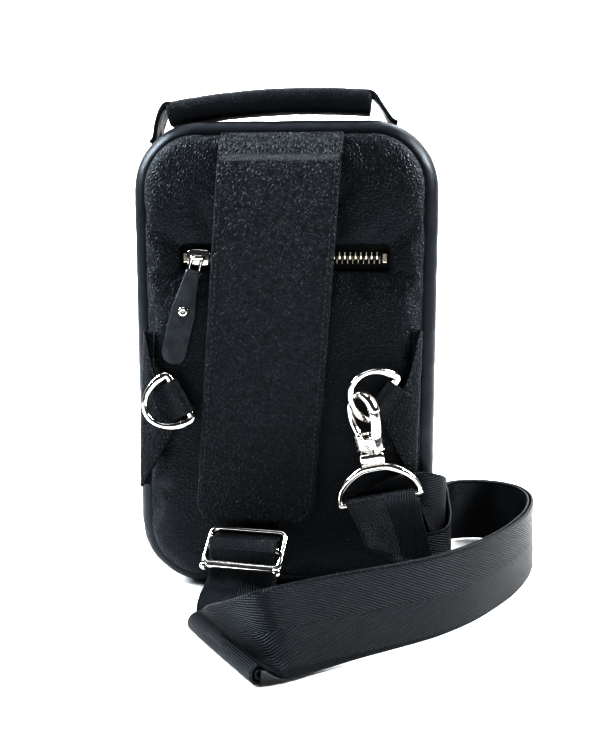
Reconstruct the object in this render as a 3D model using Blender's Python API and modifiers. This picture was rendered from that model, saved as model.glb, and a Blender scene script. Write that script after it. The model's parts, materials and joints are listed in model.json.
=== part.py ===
"""Leather sling bag: a zipped shell with a shoulder strap, side wings, D-rings, snap hook and webbing.

Frame: the bag stands on its base with +Z up. The carrying (back) side faces -Y, +X is to the right when
looking at that side. The origin is the middle of the flat base. Dimensions are in millimetres times MM.
"""
from math import cos, pi, radians, sin

import bmesh
import bpy
from mathutils import Matrix, Vector

MM = 0.001

# ---- driving dimensions, millimetres ----------------------------------------------------------------
WIDTH = 160.0            # outside width of the shell
HEIGHT = 250.0           # outside height of the shell
CORNER = 36.0            # corner radius of the shell outline
REAR_Y = -33.0           # rear lip of the gusset
FRONT_Y = 33.0           # front lip of the gusset
WALL = 2.2               # gusset leather with its lining board
LIP = 9.2                # how far the rolled shoulder of the gusset reaches inward
PANEL_INSET = 9.5        # back and front panels stop this far inside the shell outline
PANEL_THICK = 4.0
GAP = 0.3                # clearance between neighbouring solids
HINGE_Z = 58.0           # the front leaf folds down about this line
ZIP_Y = 8.5              # middle of the main zip on the gusset
ZIP_Z = 179.8            # height of the rear pocket zip
ZIP_LEFT, ZIP_RIGHT = -50.5, 51.6
ZIP_PITCH = 2.75
SLOT_HALF = 6.4          # half height of the window in the back panel
SLOT_END = 2.7           # the window is this much longer than the chain at each end
CHAIN_HALF = 3.1         # half height of the rear zip's chain
STRAP_W = 63.0           # leather shoulder strap
STRAP_T = 3.0
STRAP_TOP = 242.0        # the strap starts in the groove round the back panel
STRAP_LEAN = -0.0705     # sideways shift of the strap for each millimetre down
WEB_T = 1.6              # nylon webbing
LAYER = 1.1              # half the distance between the middles of two webbing layers that lie together
WIRE = 1.8               # wire radius of rings and bail
RING_BAR = 13.5          # half length of a D-ring's straight bar, wire centres
RING_BOW = 20.0          # depth of a D-ring's bow, wire centres
HOOK_TILT = radians(12.0)
HOOK_TURN = radians(38.0)
BAIL_BASE = Vector((52.0, -49.5, 56.5))
GRIP = (-62.0, 44.0)     # handle grip from left to right
GRIP_Y = -10.0
GRIP_TOP = (10.4, 261.3) # where the middle line of the arched grip is highest
GRIP_ARCH = 0.00124      # how fast the grip falls away from there
GRIP_HALF = 6.5          # half height of the grip
SLIDER_X = -44.0         # rear and front zip sliders at the closed end
PULL_PIVOT = Vector((-45.0, -38.2, 178.3))
LINK_REACH = 7.7         # from the slider's bridge to the bar that carries the leather tab
TAB_PIVOT = 6.2          # the tab folds outward about its own top edge, in front of the link
TAB_OUT = Vector((0, -2.2, 0))
FRONT_SLIDER = Vector((-44.0, 40.2, 179.5))
RING_LEFT = Vector((-53.0, -45.2, 108.0))
RING_RIGHT = Vector((52.6, -45.2, 108.3))
LEFT_ALONG = Vector((-0.496, 0, 0.868))     # hinge axes of the two D-rings
RIGHT_ALONG = Vector((-0.556, 0, -0.831))
ADJUSTER = Vector((-18.1, -55.5, 30.1))
ADJ_LEAN = radians(43.0)
ADJ_YAW = radians(-16.5)
ADJ_ROLL = radians(2.5)
ADJ_HALF = 10.2          # half height of the adjuster's frame, wire centres

# ---- materials: colour, roughness, metallic ---------------------------------------------------------
FINISHES = {
    "leather": ((0.012, 0.013, 0.015), 0.42, 0.0),
    "edge": ((0.006, 0.006, 0.007), 0.35, 0.0),
    "webbing": ((0.010, 0.011, 0.013), 0.38, 0.0),
    "nickel": ((0.78, 0.76, 0.73), 0.16, 1.0),
    "teeth": ((0.80, 0.74, 0.62), 0.24, 1.0),
    "tape": ((0.008, 0.008, 0.009), 0.8, 0.0),
    "foam": ((0.12, 0.12, 0.125), 0.9, 0.0),
    "lining": ((0.05, 0.05, 0.055), 0.75, 0.0),
}


# ---- scene helpers ----------------------------------------------------------------------------------
def clear_scene():
    for obj in list(bpy.data.objects):
        bpy.data.objects.remove(obj, do_unlink=True)


def make_materials():
    made = {}
    for name, (colour, rough, metal) in FINISHES.items():
        mat = bpy.data.materials.new(name)
        mat.use_nodes = True
        shader = mat.node_tree.nodes["Principled BSDF"]
        shader.inputs["Base Color"].default_value = (*colour, 1.0)
        shader.inputs["Roughness"].default_value = rough
        shader.inputs["Metallic"].default_value = metal
        made[name] = mat
    return made


def collection(name):
    col = bpy.data.collections.new(name)
    bpy.context.scene.collection.children.link(col)
    return col


def place(name, data, finish, origin=(0.0, 0.0, 0.0), turn=None, parent=None):
    """Put mesh or curve data in the part collection with its material, at a place in millimetres."""
    obj = bpy.data.objects.new(name, data)
    PARTS.objects.link(obj)
    data.materials.append(MATERIALS[finish])
    frame = Matrix.Translation(Vector(origin) * MM)
    if turn is not None:
        frame = frame @ turn.to_4x4()
    if parent is not None:
        obj.parent = parent
        obj.matrix_parent_inverse = parent.matrix_basis.inverted()
    obj.matrix_basis = frame
    return obj


def pivot(name, origin):
    """An empty on a joint axis, which the moving pieces are parented to."""
    empty = bpy.data.objects.new(name, None)
    PARTS.objects.link(empty)
    empty.matrix_basis = Matrix.Translation(Vector(origin) * MM)
    empty.empty_display_size = 0.01
    return empty


def axes(x_dir, y_dir):
    """Rotation whose local X and Y point along the given directions."""
    x_dir = Vector(x_dir).normalized()
    z_dir = x_dir.cross(Vector(y_dir)).normalized()
    y_dir = z_dir.cross(x_dir)
    return Matrix((x_dir, y_dir, z_dir)).transposed()


STANDING = axes((1, 0, 0), (0, 0, 1))      # a flat outline drawn in X and Z, its normal towards -Y
ALONG_X = axes((0, 1, 0), (0, 0, 1))       # a flat outline drawn in Y and Z, its normal towards +X


# ---- outlines ---------------------------------------------------------------------------------------
def arc(centre, radius, start, end, steps):
    """Points on an arc, angles in degrees."""
    span = [start + (end - start) * i / steps for i in range(steps + 1)]
    return [(centre[0] + radius * cos(radians(a)), centre[1] + radius * sin(radians(a))) for a in span]


def rounded_box(left, right, low, high, radius, steps=6):
    """Closed outline of a rectangle with round corners, anticlockwise from the bottom right corner."""
    points = []
    corners = ((right - radius, low + radius, -90), (right - radius, high - radius, 0),
               (left + radius, high - radius, 90), (left + radius, low + radius, 180))
    for x, y, start in corners:
        points += arc((x, y), radius, start, start + 90, steps)
    return points


def shell_outline(inset, steps=10):
    half = WIDTH / 2 - inset
    return rounded_box(-half, half, inset, HEIGHT - inset, CORNER - inset, steps)


def clip(outline, level, side):
    """The part of a closed outline above a level (side 1) or below it (side -1), closed along that level."""
    kept = []
    for (x0, z0), (x1, z1) in zip(outline, outline[1:] + outline[:1]):
        inside0 = (z0 - level) * side >= 0
        inside1 = (z1 - level) * side >= 0
        if inside0:
            kept.append((x0, z0))
        if inside0 != inside1:
            t = (level - z0) / (z1 - z0)
            kept.append((x0 + t * (x1 - x0), level))
    return kept


# ---- solids -----------------------------------------------------------------------------------------
def plate(name, outlines, thick, finish, origin=(0, 0, 0), turn=STANDING, round_edge=0.0, parent=None):
    """A flat solid from closed outlines; the second and later outlines are holes."""
    curve = bpy.data.curves.new(name, "CURVE")
    curve.dimensions = "2D"
    curve.fill_mode = "BOTH"
    curve.extrude = (thick / 2 - round_edge) * MM
    if round_edge:
        curve.bevel_depth = round_edge * MM
        curve.bevel_resolution = 1
        curve.offset = -round_edge * MM
    for outline in outlines:
        spline = curve.splines.new("POLY")
        spline.points.add(len(outline) - 1)
        for point, (x, y) in zip(spline.points, outline):
            point.co = (x * MM, y * MM, 0.0, 1.0)
        spline.use_cyclic_u = True
    return place(name, curve, finish, origin, turn, parent)


def tube(name, points, radius, finish, closed=False, origin=(0, 0, 0), turn=None, parent=None, sides=2):
    """A round wire along points given in the object's own frame."""
    curve = bpy.data.curves.new(name, "CURVE")
    curve.dimensions = "3D"
    curve.bevel_depth = radius * MM
    curve.bevel_resolution = sides
    curve.use_fill_caps = True
    spline = curve.splines.new("POLY")
    spline.points.add(len(points) - 1)
    for point, co in zip(spline.points, points):
        point.co = (co[0] * MM, co[1] * MM, co[2] * MM, 1.0)
    spline.use_cyclic_u = closed
    return place(name, curve, finish, origin, turn, parent)


def block(name, size, finish, origin, turn=None, edge=0.0, parent=None):
    """A box from a primitive cube, with optional bevelled edges."""
    mesh = bpy.data.meshes.new(name)
    bm = bmesh.new()
    bmesh.ops.create_cube(bm, size=1.0)
    bmesh.ops.scale(bm, vec=Vector(size) * MM, verts=bm.verts)
    bm.to_mesh(mesh)
    bm.free()
    obj = place(name, mesh, finish, origin, turn, parent)
    if edge:
        bevel = obj.modifiers.new("edges", "BEVEL")
        bevel.width = edge * MM
        bevel.segments = 2
    return obj


def rod(name, radius, length, finish, origin, axis, parent=None, edge=0.0, sides=20):
    """A cylinder along an axis, from a primitive cone with caps."""
    mesh = bpy.data.meshes.new(name)
    bm = bmesh.new()
    bmesh.ops.create_cone(bm, cap_ends=True, segments=sides, radius1=radius * MM, radius2=radius * MM,
                          depth=length * MM)
    bm.to_mesh(mesh)
    bm.free()
    turn = Vector(axis).to_track_quat("Z", "Y").to_matrix()
    obj = place(name, mesh, finish, origin, turn, parent)
    if edge:
        bevel = obj.modifiers.new("edges", "BEVEL")
        bevel.width = edge * MM
        bevel.segments = 2
        bevel.limit_method = "ANGLE"
    return obj


def surface_mesh(name, rows):
    """A mesh of quads through rows of points, all rows equally long, in millimetres."""
    mesh = bpy.data.meshes.new(name)
    verts = [Vector(p) * MM for row in rows for p in row]
    n = len(rows[0])
    faces = [(r * n + c, (r + 1) * n + c, (r + 1) * n + c + 1, r * n + c + 1)
             for r in range(len(rows) - 1) for c in range(n - 1)]
    mesh.from_pydata(verts, [], faces)
    return mesh


def sheet(name, rows, thick, finish, parent=None):
    """A thin solid: an open surface with Solidify, half the thickness on each side."""
    obj = place(name, surface_mesh(name, rows), finish, parent=parent)
    solid = obj.modifiers.new("thickness", "SOLIDIFY")
    solid.thickness = thick * MM
    solid.offset = 0.0
    return obj


def loft(name, path, section, finish, closed, parent=None):
    """Sweep a closed section (inset, y) along points (x, z, normal x, normal z) of the shell outline."""
    mesh = bpy.data.meshes.new(name)
    verts = [Vector((x - nx * inset, y, z - nz * inset)) * MM
             for x, z, nx, nz in path for inset, y in section]
    n, count = len(section), len(path)
    faces = []
    for r in range(count if closed else count - 1):
        a, b = r * n, ((r + 1) % count) * n
        faces += [(a + c, b + c, b + (c + 1) % n, a + (c + 1) % n) for c in range(n)]
    if not closed:
        faces += [tuple(reversed(range(n))), tuple((count - 1) * n + c for c in range(n))]
    mesh.from_pydata(verts, [], faces)
    bm = bmesh.new()
    bm.from_mesh(mesh)
    bmesh.ops.recalc_face_normals(bm, faces=bm.faces)
    bm.to_mesh(mesh)
    bm.free()
    return place(name, mesh, finish, parent=parent)


def outline_path(steps=10):
    """The shell outline with outward normals, anticlockwise from the bottom right corner."""
    half = WIDTH / 2
    corners = ((half - CORNER, CORNER, -90), (half - CORNER, HEIGHT - CORNER, 0),
               (-half + CORNER, HEIGHT - CORNER, 90), (-half + CORNER, CORNER, 180))
    path = []
    for x, z, start in corners:
        for i in range(steps + 1):
            a = radians(start + 90 * i / steps)
            path.append((x + CORNER * cos(a), z + CORNER * sin(a), cos(a), sin(a)))
    return path


def arch_path(level):
    """The outline above a level, from the right side over the top to the left side."""
    half = WIDTH / 2
    top = [p for p in outline_path() if p[1] > HEIGHT - CORNER - 0.01]
    return [(half, level, 1.0, 0.0)] + top + [(-half, level, -1.0, 0.0)]


def trough_path(level):
    """The outline below a level, from the left side round the bottom to the right side."""
    half = WIDTH / 2
    low = [p for p in outline_path() if p[1] < CORNER + 0.01]
    right = [p for p in low if p[0] > 0]
    left = [p for p in low if p[0] < 0]
    return [(-half, level, -1.0, 0.0)] + left + right + [(half, level, 1.0, 0.0)]


# ---- the shell --------------------------------------------------------------------------------------
def gusset_section(open_y, lip_y):
    """Wall of the gusset from its zip edge to the rolled shoulder that ends at a lip."""
    way = 1.0 if lip_y > open_y else -1.0
    radius = LIP
    start = lip_y - way * radius
    outer = [(radius - radius * cos(a), start + way * radius * sin(a))
             for a in [radians(d) for d in (0, 22, 45, 68, 90)]]
    small = radius - WALL
    inner = [(radius - small * cos(a), start + way * small * sin(a))
             for a in [radians(d) for d in (90, 68, 45, 22, 0)]]
    return [(0.0, open_y)] + outer + inner + [(WALL, open_y)]


def bar_section(inset, y, width, thick):
    return [(inset, y - width / 2), (inset + thick, y - width / 2),
            (inset + thick, y + width / 2), (inset, y + width / 2)]


def slot_outline():
    return rounded_box(ZIP_LEFT - SLOT_END, ZIP_RIGHT + SLOT_END,
                       ZIP_Z - SLOT_HALF, ZIP_Z + SLOT_HALF, 2.5, 3)


def rear_shell():
    plate("back_panel", [shell_outline(PANEL_INSET), slot_outline()[::-1]], PANEL_THICK, "leather",
          (0, REAR_Y - 0.5, 0), round_edge=1.2)
    plate("back_foam", [shell_outline(13.0)], 3.0, "foam", (0, -26.9, 0))
    plate("lining_back", [shell_outline(4.0, 6)], 0.6, "lining", (0, -24.5, 0))
    loft("gusset_rear", outline_path(), gusset_section(1.0, REAR_Y), "leather", True)
    loft("lining_rear_wall", outline_path(6), bar_section(WALL + GAP, -11.5, 24.6, 0.7), "lining", True)
    block("base_board", (86.0, 46.0, 1.5), "foam", (0, 2.0, 4.6))


def lower_shell():
    loft("gusset_lower", trough_path(HINGE_Z - GAP), gusset_section(1.3, FRONT_Y), "leather", False)
    outline = clip(shell_outline(PANEL_INSET), HINGE_Z - GAP, -1.0)
    plate("front_panel_lower", [outline], PANEL_THICK, "leather", (0, FRONT_Y + 0.5, 0))


def front_leaf(leaf):
    level = HINGE_Z + GAP
    loft("gusset_front", arch_path(level), gusset_section(16.0, FRONT_Y), "leather", False, leaf)
    outline = clip(shell_outline(PANEL_INSET), level, 1.0)
    plate("front_panel", [outline], PANEL_THICK, "leather", (0, FRONT_Y + 0.5, 0), parent=leaf)
    plate("front_foam", [clip(shell_outline(13.0), level + 4.0, 1.0)], 3.0, "foam",
          (0, FRONT_Y - 3.4, 0), parent=leaf)
    plate("lining_front", [clip(shell_outline(11.0, 6), level + 2.0, 1.0)], 0.6, "lining",
          (0, FRONT_Y - 5.6, 0), parent=leaf)
    plate("front_pocket_panel", [rounded_box(-60, 60, 66, 168, 14)], 2.6, "leather",
          (0, FRONT_Y + 4.2, 0), round_edge=0.8, parent=leaf)
    block("front_zip_tape", (116.0, 0.8, 17.0), "tape", (0, FRONT_Y + 3.2, 179.5), parent=leaf)
    block("front_zip_teeth", (104.0, 1.8, 4.6), "teeth", (0, FRONT_Y + 4.9, 179.5), parent=leaf)


def main_zip(leaf):
    """The closed chain is two rows of teeth, one on each tape, meeting at the middle of the gusset."""
    low = HINGE_Z + GAP
    rear = arch_path(low)
    loft("main_zip_tape_rear", rear, bar_section(0.6, ZIP_Y - 4.75, 4.9, 0.8), "tape", False)
    loft("main_zip_teeth_rear", rear, bar_section(-0.4, ZIP_Y - 1.07, 1.85, 2.4), "teeth", False)
    loft("main_zip_teeth_front", rear, bar_section(-0.4, ZIP_Y + 1.07, 1.85, 2.4), "teeth", False, leaf)
    loft("main_zip_tape_front", rear, bar_section(0.6, ZIP_Y + 4.75, 4.9, 0.8), "tape", False, leaf)


def slider_outline(wide, narrow, length):
    """Plan of a zip slider plate: a wide shoulder end and a narrower tail end."""
    a, b, h = wide / 2, narrow / 2, length / 2
    return [(-b, -h), (b, -h), (a, h * 0.35), (a * 0.8, h), (-a * 0.8, h), (-a, h * 0.35)]


def main_slider(slide):
    side = -WIDTH / 2
    turn = axes((0, 1, 0), (0, 0, 1)) @ Matrix.Rotation(pi, 3, "Y")
    plate("main_zip_slider", [slider_outline(9.0, 7.0, 12.5)], 2.2, "nickel",
          (side - 1.8, ZIP_Y, 68.0), turn, 0.4, slide)


def main_pull(pull):
    outline = rounded_box(-4.5, 4.5, -30.0, 2.0, 4.4, 5)
    plate("main_zip_pull", [outline], 2.0, "leather", (-WIDTH / 2 - 4.3, ZIP_Y, 66.0), ALONG_X, 0.4, pull)


def front_slider(slide, pull):
    back_to_front = axes((-1, 0, 0), (0, 0, 1))
    across = [(z, x) for x, z in slider_outline(8.4, 6.6, 12.0)][::-1]
    plate("front_zip_slider", [across], 2.0, "nickel", FRONT_SLIDER, back_to_front, 0.4, slide)
    outline = rounded_box(-4.5, 4.5, -32.0, 2.0, 4.4, 5)
    plate("front_zip_pull", [outline], 2.0, "leather", FRONT_SLIDER + Vector((0, 2.3, -1.5)), back_to_front,
          0.4, pull)


# ---- rear pocket ------------------------------------------------------------------------------------
def teeth_outline(up):
    """A comb: a spine with one tooth a pitch; the two rows mesh half a pitch apart."""
    root, tip = CHAIN_HALF - 0.9, -0.95
    half_tooth = ZIP_PITCH / 4 - GAP / 2
    first = ZIP_LEFT + (ZIP_PITCH if up else ZIP_PITCH * 1.5)
    count = int((ZIP_RIGHT - ZIP_LEFT) / ZIP_PITCH) - 1
    points = [(ZIP_LEFT + 1.0, CHAIN_HALF), (ZIP_LEFT + 1.0, root)]
    for i in range(count):
        x = first + i * ZIP_PITCH
        points += [(x - half_tooth, root), (x - half_tooth, tip),
                   (x + half_tooth, tip), (x + half_tooth, root)]
    points += [(ZIP_RIGHT - 1.0, root), (ZIP_RIGHT - 1.0, CHAIN_HALF)]
    way = 1.0 if up else -1.0
    outline = [(x, ZIP_Z + way * z) for x, z in points]
    return outline if up else outline[::-1]


def rear_pocket():
    mid = (ZIP_LEFT + ZIP_RIGHT) / 2
    length = ZIP_RIGHT - ZIP_LEFT + 14.0
    for part, way in (("upper", 1), ("lower", -1)):
        block("back_zip_tape_" + part, (length, 0.8, 9.0), "tape", (mid, -30.7, ZIP_Z + way * 6.0))
        plate("back_zip_teeth_" + part, [teeth_outline(way > 0)], 2.2, "teeth", (0, -32.5, 0))
    for part, x in (("left", ZIP_LEFT - 0.9), ("right", ZIP_RIGHT + 0.9)):
        block("back_zip_stop_" + part, (2.4, 2.4, 5.0), "teeth", (x, -32.5, ZIP_Z), edge=0.4)
    block("back_pocket_bag", (124.0, 1.2, 118.0), "lining", (mid, -29.3, 128.0))


def rear_slider(slide):
    plate("back_zip_slider", [[(z, -x) for x, z in slider_outline(9.4, 7.0, 13.0)]], 2.0, "nickel",
          (SLIDER_X, -35.2, ZIP_Z), round_edge=0.4, parent=slide)


def pull_frame():
    """The pull hangs down to the left of the slider: local Y runs up along the tab."""
    tilt = radians(-14.0)
    up = Vector((-sin(tilt), 0, cos(tilt)))
    return axes((cos(tilt), 0, sin(tilt)), up), up


def rear_pull(link, tab):
    turn, up = pull_frame()
    outer = rounded_box(-3.6, 3.6, -LINK_REACH - 0.8, 3.0, 2.4, 4)
    hole = rounded_box(-1.9, 1.9, -LINK_REACH + 0.8, 1.3, 1.2, 3)
    plate("back_zip_link", [outer, hole[::-1]], 1.5, "nickel", PULL_PIVOT, turn, 0.3, link)
    half, foot, rivet = 6.8, -56.4, -27.0
    sides = [(6.3, -20.0), (5.4, -10.5), (3.6, -5.6), (-3.6, -5.6), (-5.4, -10.5), (-6.3, -20.0)]
    hole = arc((0, rivet), 2.3, 0, 330, 11)
    plate("back_zip_pull", [arc((0, foot + half), half, 180, 360, 8) + sides, hole[::-1]], 2.2, "leather",
          PULL_PIVOT + TAB_OUT, turn, 0.5, tab)
    rod("back_zip_pull_rivet", 2.0, 3.2, "nickel", PULL_PIVOT + up * rivet + TAB_OUT, (0, 1, 0), tab, 0.4)


# ---- shoulder strap and handle ----------------------------------------------------------------------
def strap_rows(depth):
    """Rows across the strap from its sewn top to its end; it hangs to the left of straight down."""
    rows = []
    stations = ((STRAP_TOP, -36.0), (239.5, -37.9), (235.5, -40.6), (229.0, -42.8), (218.0, -44.2),
                (180.0, -45.2), (130.0, -45.4), (90.0, -45.6), (64.0, -45.6), (52.0, -45.6), (46.0, -45.6),
                (42.4, -45.6))
    half = STRAP_W / 2
    for z, y in stations:
        lean = STRAP_LEAN * (STRAP_TOP - z)
        round_off = max(0.0, 52.0 - z)
        inset = 10.0 - (100.0 - round_off ** 2) ** 0.5 if round_off < 10.0 else 10.0
        w = half - inset
        rows.append([(lean + w * t, y + depth, z) for t in (-1.0, 0.0, 1.0)])
    return rows


def shoulder_strap():
    sheet("shoulder_strap", strap_rows(0.0), STRAP_T, "leather")
    rows = strap_rows(STRAP_T / 2 + GAP + 0.6)[4:-2]
    inset = [[(row[1][0] + (x - row[1][0]) * 0.94, y, z) for x, y, z in row] for row in rows]
    sheet("strap_backing", inset, 1.2, "lining")


def grip_path(trim, steps):
    """The grip's arched middle line as (x, z, normal x, normal z), shortened by a trim at each end."""
    left, right = GRIP[0] + trim, GRIP[1] - trim
    path = []
    for i in range(steps + 1):
        x = left + (right - left) * i / steps
        lean = Vector((2 * GRIP_ARCH * (x - GRIP_TOP[0]), 1.0)).normalized()
        path.append((x, GRIP_TOP[1] - GRIP_ARCH * (x - GRIP_TOP[0]) ** 2, lean.x, lean.y))
    return path


def handle(lift):
    """A sleeve that is closed along a seam underneath, round a foam core, between two leather end straps."""
    def around(half_y, half_z, radius, seam):
        points = [(y + GRIP_Y, z) for y, z in rounded_box(-half_y, half_y, -half_z, half_z, radius, 3)]
        return [(GRIP_Y + seam, -half_z)] + points + [(GRIP_Y - seam, -half_z)]
    skin = around(10.0, GRIP_HALF, 4.5, 0.2) + around(7.6, GRIP_HALF - 2.2, 2.5, 0.2)[::-1]
    loft("handle_grip", grip_path(0.0, 10), [(-z, y) for y, z in skin], "leather", False, lift)
    core = [(y + GRIP_Y, z) for y, z in rounded_box(-7.3, 7.3, -4.0, 4.0, 2.2, 2)]
    loft("handle_core", grip_path(2.0, 6), [(-z, y) for y, z in core], "foam", False, lift)
    left, right = GRIP
    lines = (("left", ((left - 1.9, 258.2), (left - 4.6, 254.5), (left - 6.2, 249.5), (left - 7.1, 242.1),
                       (left - 9.0, 240.2))),
             ("right", ((right + 1.9, 262.8), (right + 4.8, 259.0), (right + 8.2, 253.9),
                        (right + 10.9, 250.4), (right + 13.0, 249.5))))
    for part, line in lines:
        rows = [[(x, GRIP_Y - 9.5, z), (x, GRIP_Y + 9.5, z)] for x, z in line]
        sheet("handle_strap_" + part, rows, 2.2, "leather")


# ---- wings and D-rings ------------------------------------------------------------------------------
def wing(name, base, fold, tip, sag):
    """A leather tab that starts at the panel's edge, folds over and comes back to its ring.

    Base heights, fold positions and tip corners are given as (upper, lower)."""
    side = 1.0 if fold[0] > 0 else -1.0
    rows = []
    for inward, y, t in ((4.0, -37.0, 0.0), (1.6, -37.1, 0.0), (0.4, -37.6, 0.0), (0.0, -38.6, 0.0),
                         (0.9, -39.8, 0.0), (0.9, -41.0, 0.2), (0.9, -41.8, 0.43), (0.9, -42.4, 0.71),
                         (0.9, -43.0, 1.0)):
        high, low = [Vector((x - side * inward, y, z)).lerp(Vector((end[0], y, end[1])), t)
                     for x, z, end in zip(fold, base, tip)]
        high.z -= sag * sin(pi * t)
        rows.append([high.lerp(low, k / 4) for k in range(5)])
    sheet(name, rows, 2.4, "leather")


def ring_points():
    """Wire centre line of a D-ring: a straight bar along X and a bow towards +Y."""
    bow = [(RING_BAR * cos(radians(a)), 2.0 + (RING_BOW - 2.0) * sin(radians(a)), 0.0)
           for a in range(0, 181, 12)]
    corner = 1.2
    return ([(-RING_BAR + corner, 0, 0), (0, 0, 0), (RING_BAR - corner, 0, 0), (RING_BAR, 0.9, 0)] + bow[1:-1]
            + [(-RING_BAR, 0.9, 0)])


def d_ring(name, centre, along, bow_dir, swing):
    tube(name, ring_points(), WIRE, "nickel", True, centre, axes(along, bow_dir), swing)


def ring_loop(name, centre, along):
    """The leather sleeve that holds a D-ring's bar."""
    sleeve = arc((0, 0), 4.1, 0, 345, 23)
    bore = arc((0, 0), WIRE + GAP, 0, 330, 11)
    turn = axes((0, 1, 0), Vector(along).cross((0, 1, 0)))
    plate(name, [sleeve, bore[::-1]], 20.0, "leather", centre, turn)


# ---- snap hook --------------------------------------------------------------------------------------
HOOK_UP = Vector((-sin(HOOK_TILT), 0, cos(HOOK_TILT)))
HOOK_ACROSS = Vector((cos(HOOK_TILT), 0, sin(HOOK_TILT)))
HOOK_SIDE = HOOK_ACROSS * cos(HOOK_TURN) + Vector((0, -1, 0)) * sin(HOOK_TURN)


def on_bail(s, h, out=0.0):
    """A point of the bail: s up the hook axis from its base bar, h across, out towards the back."""
    return BAIL_BASE + HOOK_UP * s + HOOK_ACROSS * h + Vector((0, out, 0))


def on_hook(s, q, out=0.0):
    normal = HOOK_SIDE.cross(HOOK_UP)
    return BAIL_BASE + HOOK_UP * s + HOOK_SIDE * q + normal * out


def snap_hook(bail, hook, gate):
    turn = axes(HOOK_ACROSS, HOOK_UP)
    side = [(19.5, 0.0), (20.4, 0.9), (20.4, 3.4), (18.6, 7.8), (14.6, 12.2), (9.8, 15.4), (6.2, 17.2)]
    wire = [(0, 0)] + side + [(-x, y) for x, y in reversed(side)]
    tube("bail", [(x, y, 0) for x, y in wire], WIRE, "nickel", True, BAIL_BASE, turn, bail)
    saddle_hole = arc((0, 0), 2.3, 0, 330, 11)
    saddle = rounded_box(-6.6, 6.6, -4.2, 4.2, 3.6, 4)
    plate("bail_saddle", [saddle, saddle_hole[::-1]], 5.0, "nickel", on_bail(21.9, 0),
          axes(HOOK_ACROSS, (0, 1, 0)), 0.5, bail)
    stem = axes(HOOK_SIDE, HOOK_UP)
    rod("swivel_post", 2.0, 5.6, "nickel", on_hook(22.3, 0), HOOK_UP, hook)
    body = rounded_box(-6.2, 7.2, 25.4, 34.2, 2.2, 4)
    bore = arc((4.6, 31.0), 1.9, 0, 330, 11)
    plate("hook_body", [body, bore[::-1]], 7.4, "nickel", BAIL_BASE, stem, 0.3, hook)
    bow = [(-5.2, 34.9), (-6.6, 37.6), (-7.9, 41.5), (-7.9, 46.0), (-7.0, 50.4), (-4.6, 54.0), (-1.0, 56.0),
           (3.0, 55.4), (6.2, 52.4), (7.6, 48.4)]
    tube("hook_bow", [(q, s, 0) for q, s in bow], 2.2, "nickel", False, BAIL_BASE, stem, hook)
    gate_line = [(6.2, 36.4, 0), (6.9, 40.0, 0), (7.5, 45.4, 0)]
    tube("hook_gate", gate_line, 1.7, "nickel", False, BAIL_BASE, stem, gate)
    rod("gate_pin", 1.3, 8.6, "nickel", on_hook(31.0, 4.6), HOOK_SIDE.cross(HOOK_UP), hook)


# ---- adjuster and webbing ---------------------------------------------------------------------------
def adjuster_frame():
    """Local X runs along the bars, Y up the frame and Z out of its face."""
    leaning = axes((1, 0, 0), (0, sin(ADJ_LEAN), cos(ADJ_LEAN)))
    return Matrix.Rotation(ADJ_YAW, 3, "Z") @ leaning @ Matrix.Rotation(ADJ_ROLL, 3, "Z")


def adjuster(rock):
    turn = adjuster_frame()
    ring = [(x, z, 0) for x, z in rounded_box(-21.1, 21.1, -ADJ_HALF, ADJ_HALF, 3.0, 3)]
    tube("adjuster_frame", ring, 1.6, "nickel", True, ADJUSTER, turn, rock)
    rod("adjuster_bar", 1.6, 38.2, "nickel", ADJUSTER, turn.col[0], rock)


# Rulings of the webbing: each is (upper edge, lower edge). The ramp and the band carry two layers, which lie
# to both sides of these lines. The band ends beside the bag, where the two layers part for the snap hook.
WEB_TAIL = (
    ((-29.5, -41.2, 84), (7.5, -41.2, 84)),
    ((-32.5, -41.2, 70), (4.5, -41.2, 70)),
    ((-36.5, -41.2, 56), (0.5, -41.2, 56)),
    ((-39.2, -41.4, 45), (-2.6, -41.4, 44.5)),
)
WEB_RAMP = (
    ((-40.2, -65, 7.6), (-3.4, -65, 7.6)),
    ((-40, -75, 5.4), (-3.2, -78, 5.2)),
    ((-38.4, -85, 3.4), (-1.5, -108, 3.2)),
    ((-36.6, -94, 2.7), (1.5, -147.5, 2.6)),
)
WEB_BAND = (
    ((-36.6, -94, 9.1), (1.5, -147.5, 9.0)),
    ((-32.5, -98.5, 13.0), (5.0, -147.0, 7.6)),
    ((-27, -107, 20), (8.0, -146, 5.0)),
    ((-14, -121, 29), (11.5, -143.5, 2.6)),
    ((0, -131, 37.6), (17, -138.5, 1.2)),
    ((20, -119, 38.6), (29, -129, 1.1)),
    ((38, -108.5, 38.9), (42, -119, 1.3)),
    ((58, -97, 38.9), (60.5, -106, 1.5)),
    ((77, -84.5, 38.9), (79, -92, 1.6)),
    ((95, -67.5, 38.9), (96.5, -73.5, 1.6)),
    ((109, -49.5, 38.9), (110.5, -53.5, 1.5)),
    ((122, -28, 38.9), (123.5, -31, 1.4)),
    ((132.5, -5, 38.9), (133.5, -7, 1.2)),
    ((138.5, 17, 38.9), (139.3, 16, 1.1)),
    ((139.5, 34, 38.9), (140.3, 35, 1.1)),
    ((135.5, 49, 38.9), (135.9, 51, 1.1)),
    ((126, 58, 38.9), (126.2, 60, 1.1)),
    ((113, 61.5, 38.9), (113, 63, 1.1)),
    ((101, 59.5, 38.9), (101, 60.5, 1.3)),
    ((92.5, 51, 39.6), (92.2, 52, 2.4)),
    ((88.8, 38, 41.5), (88.6, 38.5, 4.4)),
    ((87.8, 22, 45.5), (87.8, 22, 8.0)),
)
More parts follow.
